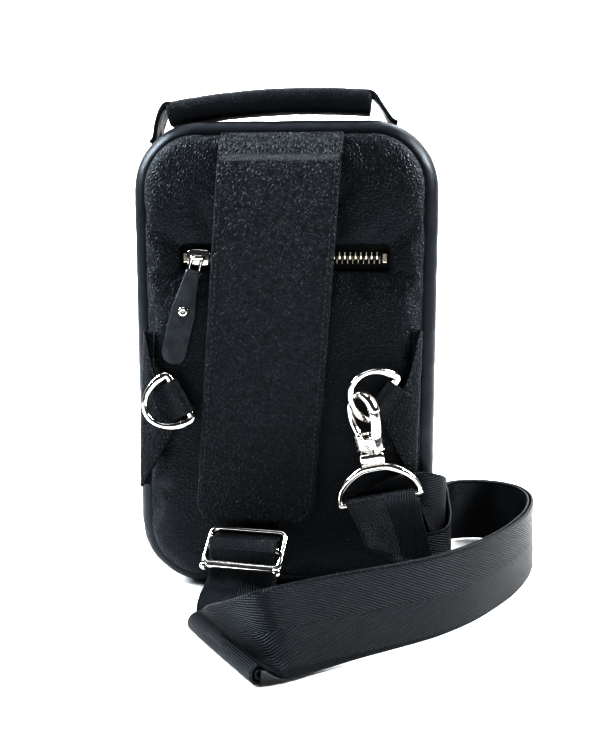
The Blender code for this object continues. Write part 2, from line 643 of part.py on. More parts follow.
WEB_OUTER_END = (
    ((86.6, 4, 51.5), (86.6, 4, 13.5)),
    ((86.3, -14, 58), (86.3, -14, 20)),
    ((86.2, -28, 63), (86.2, -28, 25)),
    ((84.5, -37, 66.5), (84.5, -37, 28.7)),
    ((80, -42, 68.8), (81.5, -41.5, 32)),
    ((73, -44.5, 70.3), (78.5, -43.8, 36.5)),
    ((62, -45.6, 69), (76, -45, 43)),
    ((49, -46.2, 63.5), (73.5, -46, 51)),
    ((38.5, -46.8, 57), (71.6, -46.9, 58.2)),
)
WEB_INNER_END = (
    ((89.2, 4, 50), (89.2, 4, 12)),
    ((89.4, -14, 47), (89.4, -14, 9)),
    ((89.3, -30, 43.5), (89.3, -30, 5.5)),
    ((86.8, -42, 41), (86.8, -42, 3)),
    ((80, -48, 39.4), (80, -48, 1.4)),
    ((71, -49.6, 38.9), (74, -49.4, 1.1)),
    ((50, -49.9, 38.6), (83, -49.4, 2.6)),
)
WEB_HANG = (
    ((45, -53.6, 31), (81, -53.4, 22)),
    ((40.5, -53.8, 42), (75.5, -53.8, 41)),
    ((35.8, -53.3, 51.5), (71.5, -53.3, 57)),
)


def smooth(rulings, steps):
    """More rulings between the given ones, each edge on a Catmull-Rom curve."""
    points = [(Vector(a), Vector(b)) for a, b in rulings]
    dense = []
    for i in range(len(points) - 1):
        around = [points[max(0, min(len(points) - 1, i + k))] for k in (-1, 0, 1, 2)]
        for j in range(steps):
            t = j / steps
            weights = (-0.5 * t + t * t - 0.5 * t ** 3, 1 - 2.5 * t * t + 1.5 * t ** 3,
                       0.5 * t + 2 * t * t - 1.5 * t ** 3, 0.5 * (t ** 3 - t * t))
            dense.append(tuple(sum((w * p[e] for w, p in zip(weights, around)), Vector()) for e in (0, 1)))
    dense.append(points[-1])
    return dense


def beside(rulings, distance):
    """The rulings moved along the surface normal, which points to the outer side of the loop."""
    moved = []
    for i, (a, b) in enumerate(rulings):
        before = rulings[max(0, i - 1)]
        after = rulings[min(len(rulings) - 1, i + 1)]
        along = (after[0] + after[1]) - (before[0] + before[1])
        normal = along.cross(a - b).normalized() * distance
        moved.append((a + normal, b + normal))
    return moved


def turn_over(start, end, steps):
    """Half a turn about the line between two rulings that face each other."""
    turned = []
    axis = [(s + e) / 2 for s, e in zip(start, end)]
    for i in range(1, steps):
        a = pi * i / steps
        row = []
        line = (axis[0] - axis[1]).normalized()
        for middle, s, e in zip(axis, start, end):
            radius = (s - e) / 2
            out = line.cross(radius).normalized() * radius.length
            row.append(middle + radius * cos(a) + out * sin(a))
        turned.append(tuple(row))
    return turned


def around_bar(centre, turn, radius, start, end, steps, half):
    """Rulings round a bar along local X, angles measured from local Y towards local Z."""
    along = turn.col[0] * half
    rows = []
    for i in range(steps + 1):
        a = radians(start + (end - start) * i / steps)
        spot = centre + (turn.col[1] * cos(a) + turn.col[2] * sin(a)) * radius
        rows.append((spot - along, spot + along))
    return rows


def at_adjuster(*points):
    """Rulings along the adjuster's bars at (up the frame, out of its face)."""
    turn = adjuster_frame()
    middles = [ADJUSTER + turn @ Vector((0, up, out)) for up, out in points]
    return [(m - turn.col[0] * 18.2, m + turn.col[0] * 18.2) for m in middles]


def towards_adjuster(*points):
    """Rulings at (x, y, z, share): they turn from straight across the bag to along the adjuster's bars."""
    rows = []
    for x, y, z, share in points:
        half = Vector((1, 0, 0)).lerp(adjuster_frame().col[0], share).normalized() * 18.2
        rows.append((Vector((x, y, z)) - half, Vector((x, y, z)) + half))
    return rows


def webbing_rulings():
    """The whole strap: leather end, adjuster, inner layer, snap hook bail, outer layer, adjuster bar."""
    ramp = smooth(WEB_RAMP, 3)
    band = smooth(WEB_BAND, 3)
    pair = ramp + turn_over(ramp[-1], band[0], 7) + band
    inner_run = beside(pair, -LAYER)
    outer_run = beside(pair, LAYER)
    tail = [(Vector(a), Vector(b)) for a, b in WEB_TAIL]
    turn = adjuster_frame()
    over = towards_adjuster((-20.4, -42.3, 40.0, 0.35)) + at_adjuster((10.4, -3.8))
    over += around_bar(ADJUSTER, turn, 5.1, 35, 132, 5, 18.2) + at_adjuster((-8.2, -2.6), (-10.9, -3.7))
    over += towards_adjuster((-19.8, -60.4, 14.0, 0.6), (-21.2, -62.2, 10.4, 0.2))
    inner_end = smooth([inner_run[-1], *WEB_INNER_END], 2)[1:]
    hang = smooth(WEB_HANG, 2)
    fold = turn_over(inner_end[-1], hang[0], 5)
    bail = around_bar(BAIL_BASE, axes(HOOK_ACROSS, (0, 1, 0)), 3.0, 172, 24, 7, 18.0)
    outer_end = smooth([outer_run[-1], *WEB_OUTER_END], 2)[1:]
    under = towards_adjuster((-21.2, -60.0, 6.2, 0.1), (-20.0, -56.9, 9.6, 0.5), (-19.0, -56.0, 14.5, 0.8),
                             (-18.4, -55.6, 20.0, 1.0), (-18.0, -54.9, 24.4, 1.0))
    wrap = around_bar(ADJUSTER, turn, 3.0, -110, 145, 9, 18.2)
    return (tail + over + inner_run + inner_end + fold + hang + bail + outer_end[::-1] + outer_run[::-1]
            + under + wrap)


def webbing():
    rows = [[a, (a + b) / 2, b] for a, b in webbing_rulings()]
    sheet("webbing", rows, WEB_T, "webbing")


# ---- the whole bag ----------------------------------------------------------------------------------
clear_scene()
PARTS = collection("sling_bag")
MATERIALS = make_materials()

rear_shell()
lower_shell()
leaf = pivot("front_leaf_pivot", (0, FRONT_Y + 2.5, HINGE_Z))
front_leaf(leaf)
main_zip(leaf)
main_slider(pivot("main_zip_slide", (-WIDTH / 2, ZIP_Y, 68.0)))
main_pull(pivot("main_zip_pull_pivot", (-WIDTH / 2 - 4.3, ZIP_Y, 67.0)))
front_slider(pivot("front_zip_slide", FRONT_SLIDER),
             pivot("front_zip_pull_pivot", FRONT_SLIDER + Vector((0, 2.3, -0.5))))
rear_pocket()
rear_slider(pivot("back_zip_slide", (SLIDER_X, -35.2, ZIP_Z)))
rear_pull(pivot("back_zip_link_pivot", PULL_PIVOT),
          pivot("back_zip_pull_pivot", PULL_PIVOT + TAB_OUT - pull_frame()[1] * TAB_PIVOT))
shoulder_strap()
handle(pivot("handle_lift", (GRIP_TOP[0], GRIP_Y, GRIP_TOP[1])))

wing("wing_left", (141.0, 58.0), (-72.8, -76.4), ((-62.9, 114.4), (-52.5, 96.2)), 6.0)
wing("wing_right", (143.0, 64.0), (71.4, 69.4), ((62.9, 114.2), (50.9, 97.0)), 5.0)
d_ring("d_ring_left", RING_LEFT, LEFT_ALONG, Vector((-0.863, -0.107, -0.493)),
       pivot("d_ring_left_swing", RING_LEFT))
d_ring("d_ring_right", RING_RIGHT, RIGHT_ALONG, Vector((-0.736, -0.463, 0.493)),
       pivot("d_ring_right_swing", RING_RIGHT))
ring_loop("ring_loop_left", RING_LEFT, LEFT_ALONG)
ring_loop("ring_loop_right", RING_RIGHT, RIGHT_ALONG)

snap_hook(pivot("bail_swing", BAIL_BASE), pivot("hook_swivel", BAIL_BASE),
          pivot("gate_pivot", on_hook(31.0, 4.6)))
adjuster(pivot("adjuster_rock", ADJUSTER))
webbing()
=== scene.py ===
"""Looks of the leather sling bag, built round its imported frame. Lengths are millimetres times MM."""
import json
from collections import Counter
from math import cos, exp, hypot, pi, radians, sin, sqrt

import bmesh
import bpy
from mathutils import Matrix, Vector, noise


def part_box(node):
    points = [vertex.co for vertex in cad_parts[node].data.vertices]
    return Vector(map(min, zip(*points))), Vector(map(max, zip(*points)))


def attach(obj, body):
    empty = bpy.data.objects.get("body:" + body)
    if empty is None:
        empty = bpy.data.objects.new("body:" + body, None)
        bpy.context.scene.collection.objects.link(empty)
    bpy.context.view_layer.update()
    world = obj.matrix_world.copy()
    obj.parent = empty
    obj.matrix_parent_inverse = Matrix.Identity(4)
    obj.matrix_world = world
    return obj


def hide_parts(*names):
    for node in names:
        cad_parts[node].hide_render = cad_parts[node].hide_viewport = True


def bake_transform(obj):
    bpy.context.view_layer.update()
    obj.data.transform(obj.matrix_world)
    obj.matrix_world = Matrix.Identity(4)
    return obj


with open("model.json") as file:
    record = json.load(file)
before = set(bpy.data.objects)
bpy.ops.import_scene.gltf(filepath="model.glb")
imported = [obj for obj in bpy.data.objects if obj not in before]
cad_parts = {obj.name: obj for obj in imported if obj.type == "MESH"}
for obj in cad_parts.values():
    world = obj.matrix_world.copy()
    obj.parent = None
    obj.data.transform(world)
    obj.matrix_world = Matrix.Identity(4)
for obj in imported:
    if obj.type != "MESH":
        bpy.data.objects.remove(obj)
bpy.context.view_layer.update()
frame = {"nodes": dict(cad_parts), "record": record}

MM = 0.001


def cad(node):
    """Lowest and highest corner of a CAD node, in millimetres."""
    return tuple(Vector(corner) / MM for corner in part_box(node))


def middle_of(node):
    low, high = cad(node)
    return (low + high) / 2


def clamp(value):
    return max(0.0, min(1.0, value))


RIGHT, FORWARD, BACKWARD, DOWN = Vector((1, 0, 0)), Vector((0, 1, 0)), Vector((0, -1, 0)), Vector((0, 0, -1))


# ---- sizes from the frame ----
SHELL_LOW, SHELL_HIGH = cad("gusset_rear")
WIDTH = SHELL_HIGH.x - SHELL_LOW.x
HEIGHT = SHELL_HIGH.z - SHELL_LOW.z
REAR_Y = SHELL_LOW.y
OPEN_Y = SHELL_HIGH.y
FRONT_Y = cad("gusset_front")[1].y
LEAF_Y = cad("gusset_front")[0].y
HINGE_Z = (cad("gusset_front")[0].z + cad("gusset_lower")[1].z) / 2
CORNER = 36.0            # corner radius of the shell
LIP = 9.2                # radius of the gusset's rolled shoulder
PANEL_INSET = cad("back_panel")[0].z
ZIP_LOW, ZIP_HIGH = cad("back_zip_teeth_upper")
ZIP_Z = middle_of("back_zip_stop_left").z
ZIP_LEFT, ZIP_RIGHT = ZIP_LOW.x - 1.0, ZIP_HIGH.x + 1.0
SLOT_HALF = 6.4          # half height of the rear zip's window
SLOT_END = 2.7           # how much longer the window is than the zip, at each end
PITCH = 2.75             # zip teeth of one side
WEB_WIDTH = 38.0         # nylon webbing
GUSSET_ZIP_Y = (cad("main_zip_teeth_rear")[0].y + cad("main_zip_teeth_front")[1].y) / 2


# ---- materials ----
class Nodes:
    """A short way to write a node tree."""

    def __init__(self, name, colour, rough, metal=0.0, specular=0.5, tint=(1.0, 1.0, 1.0)):
        self.mat = bpy.data.materials.new(name)
        self.mat.use_nodes = True
        self.tree = self.mat.node_tree
        self.shader = self.tree.nodes["Principled BSDF"]
        self.set("Base Color", (*colour, 1.0))
        self.set("Roughness", rough)
        self.set("Metallic", metal)
        self.set("Specular IOR Level", specular)
        self.set("Specular Tint", (*tint, 1.0))
        self.space = self.add("ShaderNodeTexCoord").outputs["Object"]

    def set(self, socket, value):
        self.shader.inputs[socket].default_value = value

    def add(self, kind, **settings):
        node = self.tree.nodes.new(kind)
        for key, value in settings.items():
            setattr(node, key, value)
        return node

    def feed(self, socket, value):
        if hasattr(value, "is_linked"):
            self.tree.links.new(value, socket)
        else:
            socket.default_value = value

    def math(self, operation, a, b=0.0, c=0.0):
        node = self.add("ShaderNodeMath", operation=operation)
        for socket, value in zip(node.inputs, (a, b, c)):
            self.feed(socket, value)
        return node.outputs[0]

    def band(self, value, low, high, to_low=0.0, to_high=1.0):
        """A smooth step of a value from low to high."""
        node = self.add("ShaderNodeMapRange", interpolation_type="SMOOTHSTEP")
        for socket, number in zip(node.inputs, (value, low, high, to_low, to_high)):
            self.feed(socket, number)
        return node.outputs[0]

    def noise(self, scale, detail=3.0, vector=None, rough=0.55):
        node = self.add("ShaderNodeTexNoise")
        self.feed(node.inputs["Vector"], vector or self.space)
        for socket, value in (("Scale", scale), ("Detail", detail), ("Roughness", rough)):
            node.inputs[socket].default_value = value
        return node

    def stretched(self, vector, scale):
        node = self.add("ShaderNodeVectorMath", operation="MULTIPLY")
        self.feed(node.inputs[0], vector)
        node.inputs[1].default_value = scale
        return node.outputs[0]

    def warped(self, amount, scale):
        """The object's coordinates, pushed about by a noise."""
        shift = self.add("ShaderNodeVectorMath", operation="MULTIPLY_ADD")
        self.feed(shift.inputs[0], self.noise(scale, 2.0).outputs["Color"])
        shift.inputs[1].default_value = (amount,) * 3
        self.feed(shift.inputs[2], self.space)
        return shift.outputs[0]

    def cells(self, scale, vector, feature="DISTANCE_TO_EDGE"):
        node = self.add("ShaderNodeTexVoronoi", feature=feature)
        self.feed(node.inputs["Vector"], vector)
        node.inputs["Scale"].default_value = scale
        return node.outputs["Distance"]

    def mix(self, factor, low, high):
        node = self.add("ShaderNodeMix", data_type="RGBA")
        self.feed(node.inputs[0], factor)
        self.feed(node.inputs[6], low)
        self.feed(node.inputs[7], high)
        return node.outputs[2]

    def bump(self, height, distance, strength=1.0):
        node = self.add("ShaderNodeBump")
        self.feed(node.inputs["Height"], height)
        node.inputs["Distance"].default_value = distance
        node.inputs["Strength"].default_value = strength
        self.feed(self.shader.inputs["Normal"], node.outputs["Normal"])

    def colour(self, factor, low, high):
        self.feed(self.shader.inputs["Base Color"], self.mix(factor, (*low, 1.0), (*high, 1.0)))

    def roughness(self, value, low, high, to_low, to_high):
        self.feed(self.shader.inputs["Roughness"], self.band(value, low, high, to_low, to_high))


BLACK = (0.006, 0.0074, 0.0100)
SHINE = 0.32             # specular level of leather
COLD = (0.8, 0.9, 1.0)   # tint of its highlights


def shade(tone, share):
    return tuple(v * share for v in tone)


def leather(name, cell, depth, tone=BLACK, gloss=0.36, top_creases=0.0):
    """Pebbled black leather: grains a cell across, parted by creases a depth deep, both in metres."""
    n = Nodes(name, tone, gloss, specular=SHINE, tint=COLD)
    place = n.warped(cell * 0.55, 0.9 / cell)
    if top_creases:
        up = n.add("ShaderNodeSeparateXYZ")
        n.feed(up.inputs[0], n.space)
        pulled = n.stretched(place, (1.3, 1.0, 0.5))
        near_top = n.band(up.outputs["Z"], top_creases - 0.014, top_creases - 0.010)
        blend = n.add("ShaderNodeMix", data_type="VECTOR")
        n.feed(blend.inputs[0], near_top)
        n.feed(blend.inputs[4], place)
        n.feed(blend.inputs[5], pulled)
        place = blend.outputs[1]
    edge = n.cells(1.0 / cell, place)
    grain = n.band(edge, 0.02, 0.34)
    small = n.cells(2.3 / cell, place)
    fine = n.noise(5.0 / cell, 4.0).outputs["Fac"]
    height = n.math("MULTIPLY_ADD", n.band(small, 0.0, 0.3), 0.22, grain)
    n.bump(n.math("MULTIPLY_ADD", fine, 0.25, height), depth)
    pebble_tops = n.math("MULTIPLY_ADD", fine, 0.35, n.math("MULTIPLY", grain, 0.8))
    # painted shade in the creases between the pebbles and painted sheen on the pebble tops
    n.colour(n.band(pebble_tops, 0.15, 1.0), shade(tone, 0.45), shade(tone, 1.5))
    patches = n.math("MULTIPLY", n.noise(38.0, 3.0).outputs["Fac"], 0.5)
    n.roughness(n.math("ADD", pebble_tops, patches), 0.3, 1.5, gloss + 0.2, gloss - 0.05)
    return n.mat


def smooth_leather(name, tone, gloss, wrinkle=0.00025):
    """Finer coated leather with long soft wrinkles."""
    n = Nodes(name, tone, gloss, specular=SHINE, tint=COLD)
    folds = n.noise(95.0, 5.0, n.stretched(n.space, (1.0, 1.0, 0.55))).outputs["Fac"]
    grain = n.cells(1350.0, n.warped(0.0005, 900.0))
    n.bump(n.math("MULTIPLY_ADD", n.band(grain, 0.0, 0.4), 0.16, n.math("MULTIPLY", folds, 1.6)), wrinkle)
    # painted shade in the wrinkles' troughs and painted light on their crests
    n.colour(n.band(folds, 0.35, 0.7), shade(tone, 0.6), shade(tone, 1.5))
    n.roughness(folds, 0.3, 0.75, gloss + 0.12, gloss - 0.06)
    return n.mat


UV_UNIT = 100.0          # millimetres of a ribbon in one unit of its UV map


def ribbon_uv(n):
    """Places across and along a ribbon, in millimetres."""
    uv = n.add("ShaderNodeUVMap", uv_map="ribbon")
    parts = n.add("ShaderNodeSeparateXYZ")
    n.feed(parts.inputs[0], uv.outputs[0])
    return tuple(n.math("MULTIPLY", parts.outputs[axis], UV_UNIT) for axis in "XY")


def herringbone(name, width, pitch=1.3, slant=0.42):
    """Woven nylon: steep ribs that lean to the middle from both sides, with a selvedge along both edges."""
    n = Nodes(name, BLACK, 0.33, specular=0.3, tint=COLD)
    across, along = ribbon_uv(n)
    column = width / 2
    zigzag = n.math("PINGPONG", across, column)
    wobble = n.math("MULTIPLY", n.noise(160.0, 2.0).outputs["Fac"], 0.4)
    phase = n.math("DIVIDE", n.math("ADD", n.math("MULTIPLY_ADD", along, slant, zigzag), wobble), pitch)
    ribs = n.math("SINE", n.math("MULTIPLY", phase, 2 * pi))
    yarns = n.math("SINE", n.math("MULTIPLY", along, 2 * pi / 0.55))
    off_middle = n.math("ABSOLUTE", n.math("SUBTRACT", across, column))
    turn = n.band(off_middle, 0.5, 0.0)
    edge = n.band(off_middle, column - 1.7, column - 1.3)
    picks = n.math("SINE", n.math("MULTIPLY", along, 2 * pi / 0.9))
    weave = n.math("MULTIPLY_ADD", turn, -0.5, n.math("MULTIPLY_ADD", yarns, 0.25, ribs))
    blend = n.add("ShaderNodeMix", data_type="FLOAT")
    for number, value in ((0, edge), (2, weave), (3, picks)):
        n.feed(blend.inputs[number], value)
    height = blend.outputs[0]
    n.bump(height, 0.00016)
    # painted shade in the weave's grooves and along its middle line, painted light on its ribs
    n.colour(n.band(height, -1.0, 1.1), (0.002, 0.0024, 0.0032), (0.009, 0.0105, 0.0135))
    n.roughness(height, -1.0, 1.2, 0.52, 0.3)
    return n.mat


def plain_weave(name, tone, yarn=0.0006, rough=0.75):
    """Woven tape or lining: two crossed sets of yarns."""
    n = Nodes(name, tone, rough, specular=0.3)
    parts = n.add("ShaderNodeSeparateXYZ")
    n.feed(parts.inputs[0], n.space)
    turns = 2 * pi / yarn
    flat = n.math("ADD", parts.outputs["X"], parts.outputs["Y"])
    warp = n.math("SINE", n.math("MULTIPLY", flat, turns))
    weft = n.math("SINE", n.math("MULTIPLY", parts.outputs["Z"], turns))
    height = n.math("MULTIPLY", warp, weft)
    n.bump(height, 0.0001)
    # painted shade where the yarns dip and painted light where they cross over
    n.colour(n.band(height, -1.0, 1.0), shade(tone, 0.5), shade(tone, 1.5))
    return n.mat


def metal(name, colour, rough, wear=0.08):
    """Plated casting with faint waves and rub marks."""
    n = Nodes(name, colour, rough, 1.0)
    rub = n.noise(700.0, 4.0, n.stretched(n.space, (1.0, 1.0, 0.3))).outputs["Fac"]
    n.bump(n.math("ADD", n.noise(240.0, 1.0).outputs["Fac"], n.math("MULTIPLY", rub, 0.15)), 0.00012)
    n.roughness(rub, 0.35, 0.8, rough, rough + wear)
    n.colour(n.band(rub, 0.4, 0.9), colour, shade(colour, 0.8))
    return n.mat


def thread(name, tone):
    n = Nodes(name, tone, 0.5)
    twist = n.noise(2600.0, 2.0).outputs["Fac"]
    n.bump(twist, 0.0001)
    # painted shade in the twist's hollows and painted light on its ridges
    n.colour(twist, shade(tone, 0.6), shade(tone, 1.6))
    return n.mat


def foam(name, tone):
    n = Nodes(name, tone, 0.9, specular=0.2)
    pores = n.cells(1400.0, n.space, "F1")
    n.bump(pores, 0.0002)
    # painted shade inside the pores
    n.colour(n.band(pores, 0.1, 0.7), shade(tone, 0.6), shade(tone, 1.3))
    return n.mat


STRAP_LEATHER = leather("strap_leather", 0.0021, 0.00042, top_creases=0.242, gloss=0.33)
PANEL_LEATHER = leather("panel_leather", 0.0018, 0.00022, gloss=0.27)
WING_LEATHER = leather("wing_leather", 0.0017, 0.0003, gloss=0.38)
ROLL_LEATHER = smooth_leather("roll_leather", BLACK, 0.33)
GRIP_LEATHER = leather("grip_leather", 0.0013, 0.00018, gloss=0.42)
# the tab's tone is lighter than the other black leather: a painted grey sheen
TAB_LEATHER = smooth_leather("tab_leather", (0.035, 0.038, 0.042), 0.24, 0.0004)
WEBBING = herringbone("nylon_webbing", WEB_WIDTH)
NICKEL = metal("polished_nickel", (0.78, 0.76, 0.73), 0.1)
TEETH = metal("zip_teeth_metal", (0.86, 0.80, 0.68), 0.2)
TAPE = plain_weave("zip_tape", (0.008, 0.008, 0.010))
LINING = plain_weave("lining_cloth", (0.045, 0.045, 0.05), 0.0005)
FOAM = foam("foam_core", (0.11, 0.11, 0.115))
THREAD = thread("black_thread", (0.02, 0.022, 0.027))


# ---- mesh tools ----
def build(name, verts, faces, material, smooth=True, uvs=None):
    """An object from vertices in millimetres; faces are turned outwards."""
    mesh = bpy.data.meshes.new(name)
    mesh.from_pydata([Vector(v) * MM for v in verts], [], faces)
    if uvs:
        layer = mesh.uv_layers.new(name="ribbon")
        for loop in mesh.loops:
            layer.data[loop.index].uv = uvs[loop.vertex_index]
    bm = bmesh.new()
    bm.from_mesh(mesh)
    bmesh.ops.recalc_face_normals(bm, faces=bm.faces)
    bm.to_mesh(mesh)
    bm.free()
    if smooth:
        mesh.shade_smooth()
    mesh.materials.append(material)
    obj = bpy.data.objects.new(name, mesh)
    bpy.context.scene.collection.objects.link(obj)
    return obj


def piece(obj, body, slot, *nodes):
    """Put a finished piece on its body and hide the CAD nodes that it stands for; the slot is not used."""
    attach(obj, body)
    if nodes:
        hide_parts(*nodes)
    return obj


def near(rows, i, closed=False):
    """The row before and the row after a place in a list that may run in a loop."""
    count = len(rows)
    if closed:
        return rows[(i - 1) % count], rows[(i + 1) % count]
    return rows[max(0, i - 1)], rows[min(count - 1, i + 1)]


def catmull(points, steps, closed=False):
    """A denser list along a Catmull-Rom curve; a point is a Vector or a tuple of Vectors."""
    multi = not isinstance(points[0], Vector)
    rows = [p if multi else (p,) for p in points]
    count = len(rows)
    dense = []
    for i in range(count if closed else count - 1):
        around = [rows[(i + k) % count if closed else max(0, min(count - 1, i + k))] for k in (-1, 0, 1, 2)]
        for j in range(steps):
            t = j / steps
            weights = (-0.5 * t + t * t - 0.5 * t ** 3, 1 - 2.5 * t * t + 1.5 * t ** 3,
                       0.5 * t + 2 * t * t - 1.5 * t ** 3, 0.5 * (t ** 3 - t * t))
            row = tuple(sum((w * p[e] for w, p in zip(weights, around)), Vector((0, 0, 0)))
                        for e in range(len(rows[0])))
            dense.append(row if multi else row[0])
    if not closed:
        dense.append(points[-1])
    return dense


def curve(plan, steps, closed=False):
    """A smooth curve through flat (x, y) points, as Vectors."""
    return catmull([Vector((x, y, 0)) for x, y in plan], steps, closed)


def skin(rings, closed_rings=False, caps=True):
    """Faces between rings of equal length; the ends are closed unless the rings run in a loop."""
    n, count = len(rings[0]), len(rings)
    faces = []
    for r in range(count if closed_rings else count - 1):
        a, b = r * n, ((r + 1) % count) * n
        faces += [(a + c, b + c, b + (c + 1) % n, a + (c + 1) % n) for c in range(n)]
    if caps and not closed_rings:
        faces += [tuple(reversed(range(n))), tuple((count - 1) * n + c for c in range(n))]
    return faces


def loft(name, rings, material, closed=False):
    return build(name, [v for ring in rings for v in ring], skin(rings, closed), material)


def facing(rulings, i):
    """The surface normal of a strap at one of its rulings."""
    a, b = rulings[i]
    before, after = near(rulings, i)
    along = (after[0] + after[1]) - (before[0] + before[1])
    return along.cross(a - b).normalized()


def beside_edge(rulings, end, inset, lift):
    """A seam's line, an inset from one edge of a strap and lifted off its outer face."""
    return [row[end] + (row[1 - end] - row[end]).normalized() * inset + BACKWARD * lift for row in rulings]


def ribbon(name, rulings, thick, material, relief, across=10, rim=None):
    """A strap as a closed solid with edges rounded over a rim. Rulings are pairs of edge points.

    relief(s, wide, run, face) lifts its surface: s across the width, run along it, face 1 outside, -1 inside.
    """
    half = thick / 2
    rim = min(rim or half, half)
    turns = [pi * j / 5 for j in range(1, 5)]
    verts, uvs, rings = [], [], []
    run = 0.0
    previous = (rulings[0][0] + rulings[0][1]) / 2
    for i, (a, b) in enumerate(rulings):
        wide = (b - a).length
        side = (b - a).normalized()
        normal = facing(rulings, i)
        middle = (a + b) / 2
        run += (middle - previous).length
        previous = middle
        flat = wide - 2 * rim
        ring = [(rim + flat * k / across, half, 1.0) for k in range(across + 1)]
        ring += [(wide - rim + rim * sin(t), half * cos(t), 0.0) for t in turns]
        ring += [(wide - rim - flat * k / across, -half, -1.0) for k in range(across + 1)]
        ring += [(rim - rim * sin(t), -half * cos(t), 0.0) for t in turns]
        for s, h, face in ring:
            verts.append(a + side * s + normal * (h + relief(s, wide, run, face)))
            uvs.append((s / UV_UNIT, run / UV_UNIT))
        rings.append(ring)
    return build(name, verts, skin(rings), material, uvs=uvs)


def bar(name, points, radii, flat, closed=False, sides=20, box=0.75):
    """A cast bar along a curve in a plane whose normal is flat.

    Radii are (in the plane, along its normal), one pair or one for each point; box under 1 squares the bar.
    """
    rings = []
    for i, p in enumerate(points):
        before, after = near(points, i, closed)
        along = (after - before).normalized()
        normal = (flat - along * flat.dot(along)).normalized()
        inward = along.cross(normal).normalized()
        wide, tall = radii[i] if isinstance(radii, list) else radii
        rings.append([p + inward * wide * squared(cos(t), box) + normal * tall * squared(sin(t), box)
                      for t in (2 * pi * k / sides for k in range(sides))])
    if not closed:
        rings = round_end(rings, 0, points) + rings + round_end(rings, -1, points)
    return loft(name, rings, NICKEL, closed)


def squared(value, power):
    return abs(value) ** power * (1.0 if value >= 0 else -1.0)


def round_end(rings, end, points):
    """Two shrinking rings that round off the end of a bar."""
    ring = rings[end]
    centre = sum(ring, Vector()) / len(ring)
    along = (points[0] - points[1] if end == 0 else points[-1] - points[-2]).normalized()
    size = min((v - centre).length for v in ring)
    extra = [[centre + (v - centre) * cos(t) + along * size * 0.8 * sin(t) for v in ring]
             for t in (radians(35), radians(68))]
    return extra[::-1] if end == 0 else extra


def basis(x_dir, y_dir):
    x_dir = Vector(x_dir).normalized()
    z_dir = x_dir.cross(Vector(y_dir)).normalized()
    return Matrix((x_dir, z_dir.cross(x_dir), z_dir)).transposed()


def slab(name, outline, levels, material, origin, turn):
    """A cast or cut plate: an outline in its own X and Y, at levels of (height, how far it is drawn in)."""
    centre = sum((Vector((x, y)) for x, y in outline), Vector((0, 0))) / len(outline)
    rings = []
    for height, inset in levels:
        ring = []
        for i, (x, y) in enumerate(outline):
            before, after = near(outline, i, True)
            run = (Vector(after) - Vector(before)).normalized()
            outward = Vector((run.y, -run.x))
            if outward.dot(Vector((x, y)) - centre) < 0:
                outward = -outward
            spot = Vector((x - outward.x * inset, y - outward.y * inset, height))
            ring.append(origin + turn @ spot)
        rings.append(ring)
    return loft(name, rings, material)


def disc(name, centre, axis, levels, sides=28):
    """A turned piece: (height, radius) levels along an axis."""
    turn = Vector(axis).to_track_quat("Z", "Y").to_matrix()
    angles = [2 * pi * k / sides for k in range(sides)]
    return loft(name, [[centre + turn @ Vector((r * cos(t), r * sin(t), h)) for t in angles]
                       for h, r in levels], NICKEL)


def rounded_box(left, right, low, high, radius, steps=6):
    points = []
    for x, y, start in ((right - radius, low + radius, -90), (right - radius, high - radius, 0),
                        (left + radius, high - radius, 90), (left + radius, low + radius, 180)):
        points += [(x + radius * cos(a), y + radius * sin(a))
                   for a in (radians(start + 90 * i / steps) for i in range(steps + 1))]
    return points


def merged(name, objects):
    """Join objects of one material into one mesh."""
    verts, faces = [], []
    for obj in objects:
        start = len(verts)
        verts += [v.co / MM for v in obj.data.vertices]
        faces += [tuple(start + i for i in p.vertices) for p in obj.data.polygons]
    material = objects[0].data.materials[0]
    for obj in objects:
        bpy.data.objects.remove(obj, do_unlink=True)
    return build(name, verts, faces, material)


STITCH = ((-0.5, 0.35, -0.25), (-0.32, 0.95, 0.12), (0.0, 1.0, 0.26), (0.32, 0.95, 0.12), (0.5, 0.35, -0.25))


def stitches(name, body, path, out, pitch=3.0, length=2.2, radius=0.22):
    """A row of stitches on a body along a path: arched capsules of (share of length, thickness, lift)."""
    verts, faces = [], []
    run = 0.0
    wait = 0.6
    for a, b in zip(path, path[1:]):
        step = (b - a).length
        while wait <= run + step:
            spot = a.lerp(b, (wait - run) / step if step else 0.0)
            along = (b - a).normalized()
            side = along.cross(out).normalized()
            up = side.cross(along)
            start = len(verts)
            for t, size, lift in STITCH:
                middle = spot + along * t * length + up * lift
                verts += [middle + (side * cos(q) + up * sin(q)) * radius * size
                          for q in (2 * pi * k / 6 for k in range(6))]
            faces += [tuple(start + i for i in f) for f in skin([range(6)] * len(STITCH))]
            wait += pitch
        run += step
    return piece(build(name, verts, faces, THREAD), body, "leather")


def wave(p, scale, seed):
    """Smooth noise from -1 to 1 at a place in millimetres."""
    return noise.noise(Vector(p) / scale + Vector((seed, seed * 2.3, -seed)))


# ---- camera, floor and light ----
LENS = 45.6
EYE = (0.05174, -0.52729, 0.1925)
TILT, TURN = radians(81.5), radians(4.975)
GAMMA = 0.62             # keeps detail in the black leather


def camera():
    data = bpy.data.cameras.new("camera")
    data.sensor_width = 36.0
    data.lens = LENS
    obj = bpy.data.objects.new("camera", data)
    obj.location = EYE
    obj.rotation_euler = (TILT, 0.0, TURN)
    bpy.context.scene.collection.objects.link(obj)
    bpy.context.scene.camera = obj


